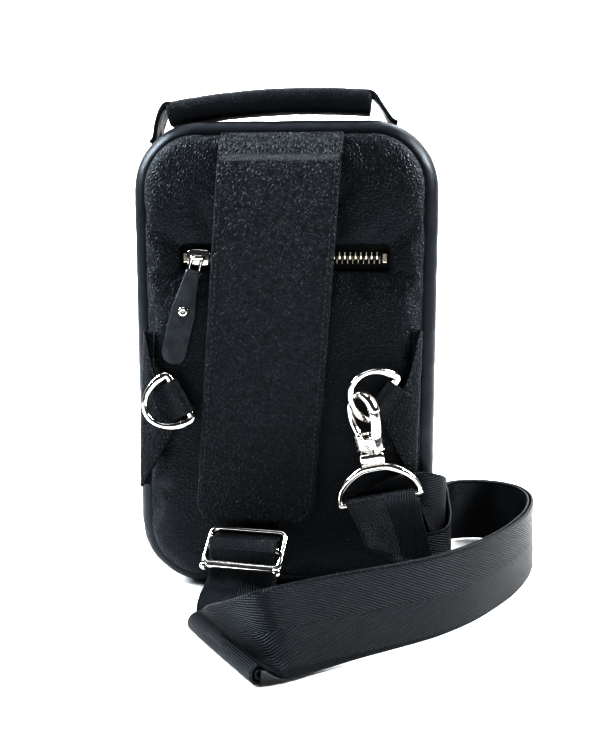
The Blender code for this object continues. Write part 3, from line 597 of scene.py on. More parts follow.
def studio():
    bpy.context.scene.view_settings.view_transform = "Standard"
    bpy.context.scene.view_settings.gamma = GAMMA
    world = bpy.data.worlds.new("studio")
    bpy.context.scene.world = world
    world.use_nodes = True
    sky = world.node_tree.nodes["Background"].inputs
    sky["Color"].default_value = (0.93, 0.96, 1.0, 1.0)
    sky["Strength"].default_value = WORLD_LIGHT
    wide, back = 4000, 1500
    floor = [(-wide, -wide, -0.4), (wide, -wide, -0.4), (wide, wide, -0.4), (-wide, wide, -0.4)]
    wall = [(-wide, back, -10), (wide, back, -10), (wide, back, wide), (-wide, back, wide)]
    matt = Nodes("pale_floor", (0.93, 0.93, 0.93), 0.6, specular=0.2).mat
    for name, corners, material in (("floor", floor, matt), ("backdrop", wall, paper())):
        build(name, corners, [(0, 1, 2, 3)], material, False)
    for name, spot, aim, size, power, colour in LAMPS:
        lamp = bpy.data.lights.new(name, "AREA")
        lamp.shape = "RECTANGLE"
        lamp.size, lamp.size_y = size
        lamp.energy = power
        lamp.color = colour
        obj = bpy.data.objects.new(name, lamp)
        obj.location = spot
        obj.rotation_euler = (Vector(aim) - Vector(spot)).to_track_quat("-Z", "Y").to_euler()
        bpy.context.scene.collection.objects.link(obj)


def paper():
    """A white backdrop that is as bright as paper in studio light."""
    n = Nodes("white_paper", (0.95, 0.95, 0.95), 0.9)
    n.set("Emission Color", (1.0, 1.0, 1.0, 1.0))
    n.set("Emission Strength", 0.9)
    return n.mat


WORLD_LIGHT = 0.10
# Each lamp: name, place, the point it faces, size, power in watts, colour.
COOL, WARM = (0.93, 0.97, 1.0), (1.0, 0.98, 0.95)
LAMPS = (
    ("key_top", (-0.1, -0.1, 1.4), (0.0, 0.0, 0.1), (1.0, 0.8), 9.0, COOL),
    ("side_left", (-1.1, -0.1, 0.95), (0.0, 0.0, 0.15), (0.35, 0.7), 60.0, COOL),
    ("side_right", (1.1, -0.1, 0.95), (0.0, 0.0, 0.15), (0.35, 0.7), 60.0, WARM),
    ("back_top", (0.1, 0.9, 1.3), (0.0, 0.1, 0.0), (1.6, 0.6), 26.0, COOL),
)

camera()
studio()


# ---- shell ----
HINGE_GAP = 0.3          # from the front leaf's hinge line to the leather on either side of it


def outline_path(corner_steps=16, side_step=3.0):
    """The shell outline with outward normals, anticlockwise from the bottom, at even steps."""
    half = WIDTH / 2
    centres = ((half - CORNER, CORNER, -90), (half - CORNER, HEIGHT - CORNER, 0),
               (-half + CORNER, HEIGHT - CORNER, 90), (-half + CORNER, CORNER, 180))
    corners = []
    for x, z, start in centres:
        corners.append([(x + CORNER * cos(a), z + CORNER * sin(a), cos(a), sin(a))
                        for a in (radians(start + 90 * i / corner_steps) for i in range(corner_steps + 1))])
    path = []
    for k, corner in enumerate(corners):
        path += corner
        following = corners[(k + 1) % 4][0]
        x, z, nx, nz = corner[-1]
        gap = hypot(following[0] - x, following[1] - z)
        count = max(2, round(gap / side_step))
        path += [(x + (following[0] - x) * i / count, z + (following[1] - z) * i / count, nx, nz)
                 for i in range(1, count)]
    return path


def part_outline(level, above):
    """The outline above or below a level, from one side round to the other, closed off at the level."""
    path = [p for p in outline_path() if (p[1] > level + 1.0 if above else p[1] < level - 1.0)]
    side = 1.0 if above else -1.0
    start = next(i for i, p in enumerate(path) if p[0] * side > 0)
    first, last = ((x * WIDTH / 2, level, x, 0.0) for x in (side, -side))
    return [first] + path[start:] + path[:start] + [last]


def gusset_section(open_y, lip_y):
    """The gusset's wall from its zip edge over the rolled shoulder into the seam, as (inset, y) points."""
    way = 1.0 if lip_y > open_y else -1.0
    wall = 2.2
    start = lip_y - way * LIP
    count = 8
    flat = [(0.0, open_y + (start - open_y) * i / count) for i in range(count)]
    roll = [(LIP - LIP * cos(a), start + way * LIP * sin(a)) for a in (radians(9 * i) for i in range(9))]
    lip = [(8.6, lip_y - way * 0.35), (9.3, lip_y - way * 1.6), (9.3, lip_y - way * 3.0)]
    small = LIP - wall
    inner = [(LIP - small * cos(a), start + way * small * sin(a))
             for a in (radians(24 * i) for i in (3, 2, 1, 0))]
    return flat + roll + lip + inner + [(wall, open_y)]


def gusset(name, path, open_y, lip_y, closed, body):
    """Leather wall with soft wrinkles that are strongest on its rolled shoulder and low corners."""
    shoulder_reach, low_reach = 16.0, 80.0
    section = gusset_section(open_y, lip_y)
    rings = []
    for x, z, nx, nz in path:
        ring = []
        for inset, y in section:
            near_lip = max(0.0, 1.0 - abs(y - lip_y) / shoulder_reach)
            low = max(0.0, 1.0 - z / low_reach)
            depth = 0.35 * near_lip + 0.55 * low
            push = 0.9 * wave((x, y * 0.5, z), 9.0, 3.0) + 0.5 * wave((x, y, z), 4.0, 7.0)
            lift = min(0.0, push * depth - 0.15) if inset < 8.0 else 0.0
            ring.append(Vector((x + nx * (lift - inset), y, max(0.0, z + nz * (lift - inset)))))
        rings.append(ring)
    piece(loft(name + "_skin", rings, ROLL_LEATHER, closed), body, "leather", name)


def half_width(z, inset):
    corner, half = CORNER - inset, WIDTH / 2 - inset
    beyond = max(inset + corner - z, z - (HEIGHT - inset - corner), 0.0)
    return half - corner + sqrt(max(corner ** 2 - beyond ** 2, 0.0))


def edge_distance(x, z, inset):
    """How far a point lies inside the rounded outline."""
    corner, half_x, half_z = CORNER - inset, WIDTH / 2 - inset, HEIGHT / 2 - inset
    dx = abs(x) - (half_x - corner)
    dz = abs(z - HEIGHT / 2) - (half_z - corner)
    outside = hypot(max(dx, 0.0), max(dz, 0.0))
    return corner - outside - min(max(dx, dz), 0.0)


def level_lines(low, high, inset, step, extra=()):
    """Heights of a panel's rows, closer together round the corners, with extra lines for a slot."""
    corner = CORNER - inset
    lines = []
    count = 12
    if low < inset + 1:
        lines += [inset + corner * (1 - cos(pi / 2 * i / count)) for i in range(count)]
        low = inset + corner
    top = high > HEIGHT - inset - 1
    end = HEIGHT - inset - corner if top else high
    stops = sorted({low, end, *[e for e in extra if low < e < end]})
    for a, b in zip(stops, stops[1:]):
        parts = max(1, round((b - a) / step))
        lines += [a + (b - a) * i / parts for i in range(parts)]
    lines.append(end)
    if top:
        lines += [HEIGHT - inset - corner * (1 - cos(pi / 2 * i / count)) for i in range(count - 1, -1, -1)]
    return lines


SHOULDER = 9.0           # width of a panel's rounded edge
BULGE = 2.0              # how far a stuffed panel swells out over its seam
SWELL = 1.6              # the most that the stuffing moves a panel's leather
PANEL_THICK = 2.0
RIM_COLUMNS = (0.15, 0.6, 1.4, 2.6, 4.2, 6.4, SHOULDER)


def padded_panel(name, node, body, seam_y, low, high, crown, slot_box=(), step=3.0):
    """A crowned leather panel: it rises from its seam, dips to the edges of a slot, and creases a little."""
    way = 1.0 if seam_y > 0 else -1.0
    inset = PANEL_INSET - BULGE
    lines = level_lines(low, high, inset, step, slot_box[2:])
    full = WIDTH / 2 - inset
    columns = sorted({-full, full, *slot_box[:2]})
    across = []
    for a, b in zip(columns, columns[1:]):
        parts = max(1, round((b - a) / step))
        across += [(a + (b - a) * i / parts) / full for i in range(parts)]
    rim = [1.0 - d / full for d in RIM_COLUMNS]
    inner = [t for t in across if abs(t) < rim[-1] - 0.01]
    across = sorted([-1.0, 1.0] + inner + rim + [-t for t in rim])
    cut_low, cut_high = low > inset + 1, high < HEIGHT - inset - 1
    verts, faces = [], []
    for z in lines:
        for t in across:
            x = t * half_width(z, inset)
            to_cut = min(z - low if cut_low else HEIGHT, high - z if cut_high else HEIGHT)
            d = max(0.0, min(edge_distance(x, z, inset), to_cut))
            edge = 1.0 - min(1.0, d / SHOULDER)
            rise = crown * sqrt(1.0 - edge * edge) + 1.0 - exp(-d / 30.0)
            if slot_box:
                sx = max(slot_box[0] - x, x - slot_box[1], 0.0)
                sz = max(slot_box[2] - z, z - slot_box[3], 0.0)
                rise -= (crown - 1.2) * exp(-hypot(sx, sz) / 6.0)
            rise += 0.22 * wave((x, 0, z), 13.0, 5.0) * min(1.0, d / 8.0)
            verts.append((x, seam_y + way * rise, z))
    wide = len(across)

    def in_slot(r, c):
        x = (across[c] + across[c + 1]) / 2 * full
        z = (lines[r] + lines[r + 1]) / 2
        return slot_box and slot_box[0] < x < slot_box[1] and slot_box[2] < z < slot_box[3]

    for r in range(len(lines) - 1):
        faces += [(r * wide + c, (r + 1) * wide + c, (r + 1) * wide + c + 1, r * wide + c + 1)
                  for c in range(wide - 1) if not in_slot(r, c)]
    obj = build(name, verts, faces, PANEL_LEATHER)
    bm = bmesh.new()
    bm.from_mesh(obj.data)
    bmesh.ops.delete(bm, geom=[v for v in bm.verts if not v.link_faces], context="VERTS")
    if sum(f.normal.y for f in bm.faces) * way < 0:
        bmesh.ops.reverse_faces(bm, faces=bm.faces)
    bm.to_mesh(obj.data)
    bm.free()
    inflate(obj, SWELL)
    thick = obj.modifiers.new("thickness", "SOLIDIFY")
    thick.thickness = PANEL_THICK * MM
    thick.offset = -1.0
    fine = obj.modifiers.new("fine", "SUBSURF")
    fine.levels = fine.render_levels = 1
    piece(obj, body, "leather", node)


SETTLE_FRAMES = 20


def inflate(obj, cap):
    """Swell an open sewn panel with the Cloth modifier: its seams are pinned and pressure lifts the rest."""
    group = obj.vertex_groups.new(name="seam")
    used = Counter(key for polygon in obj.data.polygons for key in polygon.edge_keys)
    group.add(sorted({v for key, count in used.items() if count == 1 for v in key}), 1.0, "REPLACE")
    rest = [v.co.copy() for v in obj.data.vertices]
    cloth = obj.modifiers.new("cloth", "CLOTH")
    settings = cloth.settings
    settings.vertex_group_mass = "seam"
    settings.quality = 6
    settings.mass = 0.4
    settings.tension_stiffness = settings.compression_stiffness = 30.0
    settings.shear_stiffness = 12.0
    settings.bending_stiffness = 2.5
    settings.shrink_min = -0.012
    settings.use_pressure = True
    settings.uniform_pressure_force = 4.0
    settings.effector_weights.gravity = 0.0
    cloth.collision_settings.use_self_collision = False
    scene = bpy.context.scene
    for number in range(1, SETTLE_FRAMES + 1):
        scene.frame_set(number)
    shape = obj.evaluated_get(bpy.context.evaluated_depsgraph_get())
    moved = [v.co.copy() for v in shape.data.vertices]
    obj.modifiers.remove(cloth)
    scene.frame_set(1)
    for v, start, end in zip(obj.data.vertices, rest, moved):
        shift = end - start
        if shift.length > cap * MM:
            shift = shift.normalized() * cap * MM
        v.co = start + shift
    obj.data.update()


SLOT_BOX = (ZIP_LEFT - SLOT_END, ZIP_RIGHT + SLOT_END, ZIP_Z - SLOT_HALF, ZIP_Z + SLOT_HALF)
BOTTOM, TOP = PANEL_INSET - BULGE, HEIGHT - PANEL_INSET + BULGE
SINK = 0.1               # how far a panel's seam lies inside the gusset's lip
padded_panel("back_leather", "back_panel", "root", REAR_Y + SINK, BOTTOM, TOP, 4.6, SLOT_BOX)
padded_panel("front_leather", "front_panel", "front_leaf", FRONT_Y - SINK, HINGE_Z + HINGE_GAP, TOP, 4.0)
padded_panel("front_leather_lower", "front_panel_lower", "root", FRONT_Y - SINK, BOTTOM, HINGE_Z - HINGE_GAP,
             4.0)
gusset("gusset_rear", outline_path(), OPEN_Y, REAR_Y, True, "root")
gusset("gusset_front", part_outline(HINGE_Z + HINGE_GAP, True), LEAF_Y, FRONT_Y, False, "front_leaf")
gusset("gusset_lower", part_outline(HINGE_Z - HINGE_GAP, False), OPEN_Y + 0.3, FRONT_Y, False, "root")


def pocket():
    """The patch pocket on the front, with a turned edge, a crown and a row of stitches."""
    low, high = cad("front_pocket_panel")
    middle = (low + high) / 2
    half = (high - low) / 2
    radius, margin = 14.0, 2.6
    turn = basis((-1, 0, 0), (0, 0, 1))
    outline = rounded_box(-half.x, half.x, -half.z, half.z, radius, 8)
    levels = [(-half.y, 0.0), (0.5, 0.0), (1.0, 0.35), (1.3, 1.2), (1.0, margin), (1.35, 4.0), (1.6, 7.0),
              (1.9, 12.0)]
    piece(slab("front_pocket_leather", outline, levels, PANEL_LEATHER, middle, turn), "front_leaf", "leather",
          "front_pocket_panel")
    wide, tall = half.x - margin, half.z - margin
    seam = [middle + turn @ Vector((x, y, 1.1))
            for x, y in rounded_box(-wide, wide, -tall, tall, radius - margin, 8)]
    stitches("front_pocket_stitch", "front_leaf", seam + seam[:1], FORWARD, radius=0.26)


pocket()


# ---- shoulder strap ----
STRAP_TOP = 242.0
STRAP_HALF = 31.5
STRAP_LEAN = -0.0705     # sideways shift of the strap for each millimetre down
STRAP_SEAM = 3.0         # from the strap's edge to its stitches


def strap():
    """The padded leather strap: it starts under the panel's top edge and ends in a rounded tongue."""
    low = cad("shoulder_strap")[0]
    tongue_y, tongue_z, rounding = -45.6, 52.0, 10.0
    stations = [(STRAP_TOP, -36.0), (239.5, -37.9), (235.5, -40.6), (229.0, -42.8), (218.0, -44.2),
                (180.0, -45.2), (130.0, -45.4), (90.0, tongue_y), (64.0, tongue_y), (tongue_z, tongue_y)]
    middle = catmull([Vector((0, y, z)) for z, y in stations], 6)
    middle += [Vector((0, tongue_y, tongue_z - rounding * sin(pi / 2 * i / 10))) for i in range(1, 10)]
    middle.append(Vector((0, tongue_y, low.z + 0.05)))
    rulings = []
    for p in middle:
        lean = STRAP_LEAN * (STRAP_TOP - p.z)
        drop = min(rounding, max(0.0, tongue_z - p.z))
        w = STRAP_HALF - (rounding - sqrt(rounding ** 2 - drop ** 2))
        rulings.append((Vector((lean - w, p.y, p.z)), Vector((lean + w, p.y, p.z))))

    def relief(s, wide, run, face):
        if face < 0:
            return 0.0
        inward = min(s, wide - s) - STRAP_SEAM
        padding = 0.9 * (1.0 - exp(-max(0.0, inward) / 7.0))
        groove = -0.5 * exp(-(inward / 0.8) ** 2)
        creases = 0.5 * wave((s, run * 0.2, 0), 4.2, 2.0) * exp(-((run - 7.0) / 9.0) ** 2)
        return (padding + groove + creases) * min(1.0, run / 3.0)

    obj = ribbon("strap_leather_skin", rulings, 3.0, STRAP_LEATHER, relief, 42, 1.2)
    piece(obj, "root", "leather", "shoulder_strap")
    for end, name in ((0, "strap_stitch_left"), (1, "strap_stitch_right")):
        line = beside_edge(rulings[3:], end, STRAP_SEAM, 1.25)
        stitches(name, "root", line, Vector((0, -1, 0.05)), radius=0.24)


strap()


# ---- webbing ----
WEB_HALF = 18.2          # half width inside the adjuster
LAYER = 1.1              # half the distance between two layers that lie together
ADJUSTER = middle_of("adjuster_frame")
JOINT = {j["name"]: j for j in frame["record"]["behaviour"]["joints"]}


def joint_at(name):
    return Vector(JOINT[name]["pos_m"]) / MM


ADJ_LEAN, ADJ_YAW, ADJ_ROLL = radians(43.0), radians(-16.5), radians(2.5)
ADJ_HALF = 10.2          # half height of the adjuster, wire centres
ADJ_TURN = (Matrix.Rotation(ADJ_YAW, 3, "Z") @ basis((1, 0, 0), (0, sin(ADJ_LEAN), cos(ADJ_LEAN)))
            @ Matrix.Rotation(ADJ_ROLL, 3, "Z"))
BAIL_BASE = joint_at("bail_swing")
BAIL_ACROSS = Vector(JOINT["bail_swing"]["axis"])
HOOK_UP = Vector(JOINT["hook_swivel"]["axis"])
# Rulings of the webbing as the frame's solid has them, each (upper edge, lower edge).
WEB_TAIL = (
    ((-29.5, -41.2, 84), (7.5, -41.2, 84)),
    ((-32.5, -41.2, 70), (4.5, -41.2, 70)),
    ((-36.5, -41.2, 56), (0.5, -41.2, 56)),
    ((-39.2, -41.4, 45), (-2.6, -41.4, 44.5)),
)
WEB_RAMP = (
    ((-40.2, -65, 7.6), (-3.4, -65, 7.6)),
    ((-40, -75, 5.4), (-3.2, -78, 5.2)),
    ((-38.4, -85, 3.4), (-1.5, -108, 3.2)),
    ((-36.6, -94, 2.7), (1.5, -147.5, 2.6)),
)
WEB_BAND = (
    ((-36.6, -94, 9.1), (1.5, -147.5, 9.0)),
    ((-32.5, -98.5, 13.0), (5.0, -147.0, 7.6)),
    ((-27, -107, 20), (8.0, -146, 5.0)),
    ((-14, -121, 29), (11.5, -143.5, 2.6)),
    ((0, -131, 37.6), (17, -138.5, 1.2)),
    ((20, -119, 38.6), (29, -129, 1.1)),
    ((38, -108.5, 38.9), (42, -119, 1.3)),
    ((58, -97, 38.9), (60.5, -106, 1.5)),
    ((77, -84.5, 38.9), (79, -92, 1.6)),
    ((95, -67.5, 38.9), (96.5, -73.5, 1.6)),
    ((109, -49.5, 38.9), (110.5, -53.5, 1.5)),
    ((122, -28, 38.9), (123.5, -31, 1.4)),
    ((132.5, -5, 38.9), (133.5, -7, 1.2)),
    ((138.5, 17, 38.9), (139.3, 16, 1.1)),
    ((139.5, 34, 38.9), (140.3, 35, 1.1)),
    ((135.5, 49, 38.9), (135.9, 51, 1.1)),
    ((126, 58, 38.9), (126.2, 60, 1.1)),
    ((113, 61.5, 38.9), (113, 63, 1.1)),
    ((101, 59.5, 38.9), (101, 60.5, 1.3)),
    ((92.5, 51, 39.6), (92.2, 52, 2.4)),
    ((88.8, 38, 41.5), (88.6, 38.5, 4.4)),
    ((87.8, 22, 45.5), (87.8, 22, 8.0)),
)
WEB_OUTER_END = (
    ((86.6, 4, 51.5), (86.6, 4, 13.5)),
    ((86.3, -14, 58), (86.3, -14, 20)),
    ((86.2, -28, 63), (86.2, -28, 25)),
    ((84.5, -37, 66.5), (84.5, -37, 28.7)),
    ((80, -42, 68.8), (81.5, -41.5, 32)),
    ((73, -44.5, 70.3), (78.5, -43.8, 36.5)),
    ((62, -45.6, 69), (76, -45, 43)),
    ((49, -46.2, 63.5), (73.5, -46, 51)),
    ((38.5, -46.8, 57), (71.6, -46.9, 58.2)),
)
WEB_INNER_END = (
    ((89.2, 4, 50), (89.2, 4, 12)),
    ((89.4, -14, 47), (89.4, -14, 9)),
    ((89.3, -30, 43.5), (89.3, -30, 5.5)),
    ((86.8, -42, 41), (86.8, -42, 3)),
    ((80, -48, 39.4), (80, -48, 1.4)),
    ((71, -49.6, 38.9), (74, -49.4, 1.1)),
    ((50, -49.9, 38.6), (83, -49.4, 2.6)),
)
WEB_HANG = (
    ((45, -53.6, 31), (81, -53.4, 22)),
    ((40.5, -53.8, 42), (75.5, -53.8, 41)),
    ((35.8, -53.3, 51.5), (71.5, -53.3, 57)),
)


def beside(rulings, distance):
    """The rulings moved along the surface normal, which points to the outer side of the loop."""
    shifts = [facing(rulings, i) * distance for i in range(len(rulings))]
    return [(a + shift, b + shift) for (a, b), shift in zip(rulings, shifts)]


def turn_over(start, end, steps):
    """Half a turn about the line between two rulings that face each other."""
    axis = [(s + e) / 2 for s, e in zip(start, end)]
    line = (axis[0] - axis[1]).normalized()
    turned = []
    for i in range(1, steps):
        a = pi * i / steps
        row = []
        for middle, s, e in zip(axis, start, end):
            radius = (s - e) / 2
            out = line.cross(radius).normalized() * radius.length
            row.append(middle + radius * cos(a) + out * sin(a))
        turned.append(tuple(row))
    return turned


def either_side(middles, half):
    return [(m - half, m + half) for m in middles]


def around_bar(centre, turn, radius, start, end, steps, half=WEB_HALF):
    """Rulings round a bar along local X, angles measured from local Y towards local Z."""
    angles = [radians(start + (end - start) * i / steps) for i in range(steps + 1)]
    middles = [centre + (turn.col[1] * cos(a) + turn.col[2] * sin(a)) * radius for a in angles]
    return either_side(middles, turn.col[0] * half)


def at_adjuster(*points):
    """Rulings along the adjuster's bars at (up the frame, out of its face)."""
    middles = [ADJUSTER + ADJ_TURN @ Vector((0, up, out)) for up, out in points]
    return either_side(middles, ADJ_TURN.col[0] * WEB_HALF)


def towards_adjuster(*points):
    """Rulings at (x, y, z, share): they turn from straight across the bag to along the adjuster's bars."""
    rows = []
    for *middle, share in points:
        rows += either_side([Vector(middle)], RIGHT.lerp(ADJ_TURN.col[0], share).normalized() * WEB_HALF)
    return rows


def vectors(rulings):
    return [(Vector(a), Vector(b)) for a, b in rulings]


def webbing_rulings():
    """The whole strap: leather end, adjuster, inner layer, snap hook bail, outer layer, adjuster bar."""
    ramp = catmull(vectors(WEB_RAMP), 5)
    band = catmull(vectors(WEB_BAND), 5)
    pair = ramp + turn_over(ramp[-1], band[0], 10) + band
    inner_run = beside(pair, -LAYER)
    outer_run = beside(pair, LAYER)
    over = towards_adjuster((-20.4, -42.3, 40.0, 0.35)) + at_adjuster((10.4, -3.8))
    over += around_bar(ADJUSTER, ADJ_TURN, 5.1, 35, 132, 8) + at_adjuster((-8.2, -2.6), (-10.9, -3.7))
    over += towards_adjuster((-19.8, -60.4, 14.0, 0.6), (-21.2, -62.2, 10.4, 0.2))
    inner_end = catmull([inner_run[-1], *vectors(WEB_INNER_END)], 4)[1:]
    hang = catmull(vectors(WEB_HANG), 5)
    fold = turn_over(inner_end[-1], hang[0], 7)
    bail = around_bar(BAIL_BASE, basis(BAIL_ACROSS, (0, 1, 0)), 3.0, 172, 24, 10, 18.0)
    outer_end = catmull([outer_run[-1], *vectors(WEB_OUTER_END)], 5)[1:]
    under = towards_adjuster((-21.2, -60.0, 6.2, 0.1), (-20.0, -56.9, 9.6, 0.5), (-19.0, -56.0, 14.5, 0.8),
                             (-18.4, -55.6, 20.0, 1.0), (-18.0, -54.9, 24.4, 1.0))
    wrap = around_bar(ADJUSTER, ADJ_TURN, 3.0, -110, 145, 14)
    first = catmull(vectors(WEB_TAIL) + over + [inner_run[0]], 3)[:-1]
    middle = catmull([inner_end[-1], *fold, hang[0]], 2)[1:-1]
    upper = catmull([hang[-1], *bail, outer_end[-1]], 2)[1:-1]
    last = catmull([outer_run[0], *under, *wrap], 3)[1:]
    return first + inner_run + inner_end + middle + hang + upper + outer_end[::-1] + outer_run[::-1] + last


def webbing():
    rulings = webbing_rulings()

    def relief(s, wide, run, face):
        u = s / wide
        return 0.10 * sin(run / 17.0) * sin(2 * pi * u) + 0.06 * sin(run / 7.3 + 4 * u)

    obj = ribbon("webbing_strap", rulings, 1.5, WEBBING, relief, 16)
    piece(obj, "root", "webbing", "webbing")


webbing()


# ---- wings and D-rings ----
LEFT_ALONG = Vector(JOINT["d_ring_left_swing"]["axis"])
RIGHT_ALONG = Vector(JOINT["d_ring_right_swing"]["axis"])
RING_LEFT, RING_RIGHT = joint_at("d_ring_left_swing"), joint_at("d_ring_right_swing")


WING_SEAMS = (2.6, 4.8)  # two rows of stitches, from the edge
LOOP_HALF = 9.8          # half width of the sleeve round a ring's bar


def wing(name, base, fold, tip, sag):
    """A leather tab that starts at the panel's edge, folds over and comes back to its ring."""
    side = 1.0 if fold[0] > 0 else -1.0
    rulings = []
    for inward, y, t in ((4.0, -37.0, 0.0), (1.6, -37.1, 0.0), (0.4, -37.6, 0.0), (0.0, -38.6, 0.0),
                         (0.9, -39.8, 0.0), (0.9, -41.0, 0.2), (0.9, -41.8, 0.43), (0.9, -42.4, 0.71),
                         (0.9, -43.0, 1.0)):
        high, low = [Vector((x - side * inward, y, z)).lerp(Vector((end[0], y, end[1])), t)
                     for x, z, end in zip(fold, base, tip)]
        high.z -= sag * sin(pi * t)
        rulings.append((high, low))
    rulings = catmull(rulings, 7)

    def relief(s, wide, run, face):
        inward = min(s, wide - s)
        grooves = sum(depth * exp(-((inward - seam) / 0.6) ** 2)
                      for seam, depth in zip(WING_SEAMS, (0.35, 0.2)))
        return 0.35 * wave((s, run, side), 9.0, 4.0) - face * grooves

    piece(ribbon(name + "_skin", rulings, 2.2, WING_LEATHER, relief, 44, 0.9), "root", "leather", name)
    rows = rulings[int(len(rulings) * 0.45):]
    for number, inset in enumerate(WING_SEAMS):
        for end, edge in ((0, "upper"), (1, "lower")):
            line = beside_edge(rows, end, inset, 1.05)
            stitches(f"{name}_stitch_{edge}_{number + 1}", "root", line, BACKWARD)


def ring_loop(name, centre, along, tail):
    """The wing's narrow end: it wraps the ring's bar and is sewn back on itself."""
    path = ((10.5, -0.15), (8.0, -0.45), (4.6, -1.45), (1.6, -2.5), (0.0, -2.7), (-1.9, -1.9), (-2.7, 0.0),
            (-1.9, 1.9), (0.0, 2.6), (2.6, 2.65), (4.7, 2.3))
    middles = [centre + tail * d + FORWARD * y for d, y in path]
    rulings = catmull(either_side(middles, along * LOOP_HALF), 4)
    obj = ribbon(name + "_skin", rulings, 1.3, WING_LEATHER,
                 lambda s, wide, run, face: 0.12 * wave((s, run, 1), 3.0, 8.0), 12, 0.5)
    piece(obj, "root", "leather", name)
    line = [centre + tail * 8.6 + along * t + BACKWARD * 1.15 for t in (-8.6, 0.0, 8.6)]
    stitches(name + "_stitch", "root", line, BACKWARD, 2.6, 1.9)


def d_ring(name, body, centre, along, bow):
    """A cast ring: a straight bar, and a bow that is broader where it leaves the bar."""
    half, reach = 13.5, 20.0
    arc = [(half * cos(t), 2.0 + (reach - 2.0) * sin(t)) for t in (pi * i / 36 for i in range(37))]
    outline = [(0.0, 0.0), (half - 3.0, 0.0), (half - 0.9, 0.25), (half - 0.1, 1.0)] + arc[1:-1]
    outline += [(-half + 0.1, 1.0), (-half + 0.9, 0.25), (-half + 3.0, 0.0)]
    points = [centre + along * x + bow * y for x, y in outline]
    broad = [max(0.0, 1.0 - abs(y - 5.0) / 11.0) for x, y in outline]
    radii = [(1.45 + 0.85 * b, 1.4 + 0.8 * b) for b in broad]
    ring = bar(name + "_cast", points, radii, along.cross(bow).normalized(), True, box=0.72)
    piece(ring, body, "nickel", name)


wing("wing_left", (141.0, 58.0), (-72.8, -76.4), ((-62.9, 114.4), (-52.5, 96.2)), 6.0)
wing("wing_right", (143.0, 64.0), (71.4, 69.4), ((62.9, 114.2), (50.9, 97.0)), 5.0)
ring_loop("ring_loop_left", RING_LEFT, LEFT_ALONG, Vector((-0.868, 0, -0.496)))
ring_loop("ring_loop_right", RING_RIGHT, RIGHT_ALONG, Vector((0.831, 0, -0.556)))
d_ring("d_ring_left", "ring_left", RING_LEFT, LEFT_ALONG, Vector((-0.863, -0.107, -0.493)))
d_ring("d_ring_right", "ring_right", RING_RIGHT, RIGHT_ALONG, Vector((-0.736, -0.463, 0.493)))


# ---- snap hook ----
HOOK_NORMAL = Vector(JOINT["gate_hinge"]["axis"])
HOOK_SIDE = HOOK_UP.cross(HOOK_NORMAL).normalized()


def on_hook(s, q, out=0.0):
    return BAIL_BASE + HOOK_UP * s + HOOK_SIDE * q + HOOK_NORMAL * out


def on_bail(x, s, out=0.0):
    return BAIL_BASE + BAIL_ACROSS * x + HOOK_UP * s + BAIL_ACROSS.cross(HOOK_UP) * out


def bail():
    """The broad loop that the webbing hangs in, and the saddle that joins it to the hook."""
    plane = BAIL_ACROSS.cross(HOOK_UP)
    side = [(19.4, 0.05), (20.4, 1.0), (20.5, 3.4), (18.9, 7.6), (15.2, 11.8), (10.4, 15.0), (6.0, 16.9)]
    wire = curve([(0.0, 0.0)] + side + [(0.0, 17.3)] + [(-x, y) for x, y in reversed(side)], 5, True)
    radii = [(1.35 + 1.0 * max(0.0, (p.y - 6.0) / 11.0), 1.7 + 1.7 * max(0.0, (p.y - 3.0) / 14.0))
             for p in wire]
    loop = bar("bail_cast", [on_bail(p.x, p.y) for p in wire], radii, plane, True)
    piece(loop, "bail", "nickel", "bail")
    levels = [(-3.4, 1.2), (-3.2, 0.4), (-2.4, 0.0), (1.6, 0.0), (2.3, 0.35), (2.5, 1.1), (2.5, 1.8),
              (1.7, 2.2)]
    block = slab("bail_saddle_cast", rounded_box(-6.4, 6.4, -4.0, 4.0, 1.6), levels, NICKEL,
                 on_bail(0, 21.7), basis(BAIL_ACROSS, plane))
    piece(block, "bail", "nickel", "bail_saddle")


def hook_part(name, body, spots, radii, box):
    """A cast bar in the hook's plane along (sideways, up) spots; radii come from a function of the place."""
    points = curve(spots, 5)
    obj = bar(name + "_cast", [on_hook(p.y, p.x) for p in points],
              [radii(p, i / (len(points) - 1)) for i, p in enumerate(points)], HOOK_NORMAL, box=box)
    piece(obj, body, "nickel", name)


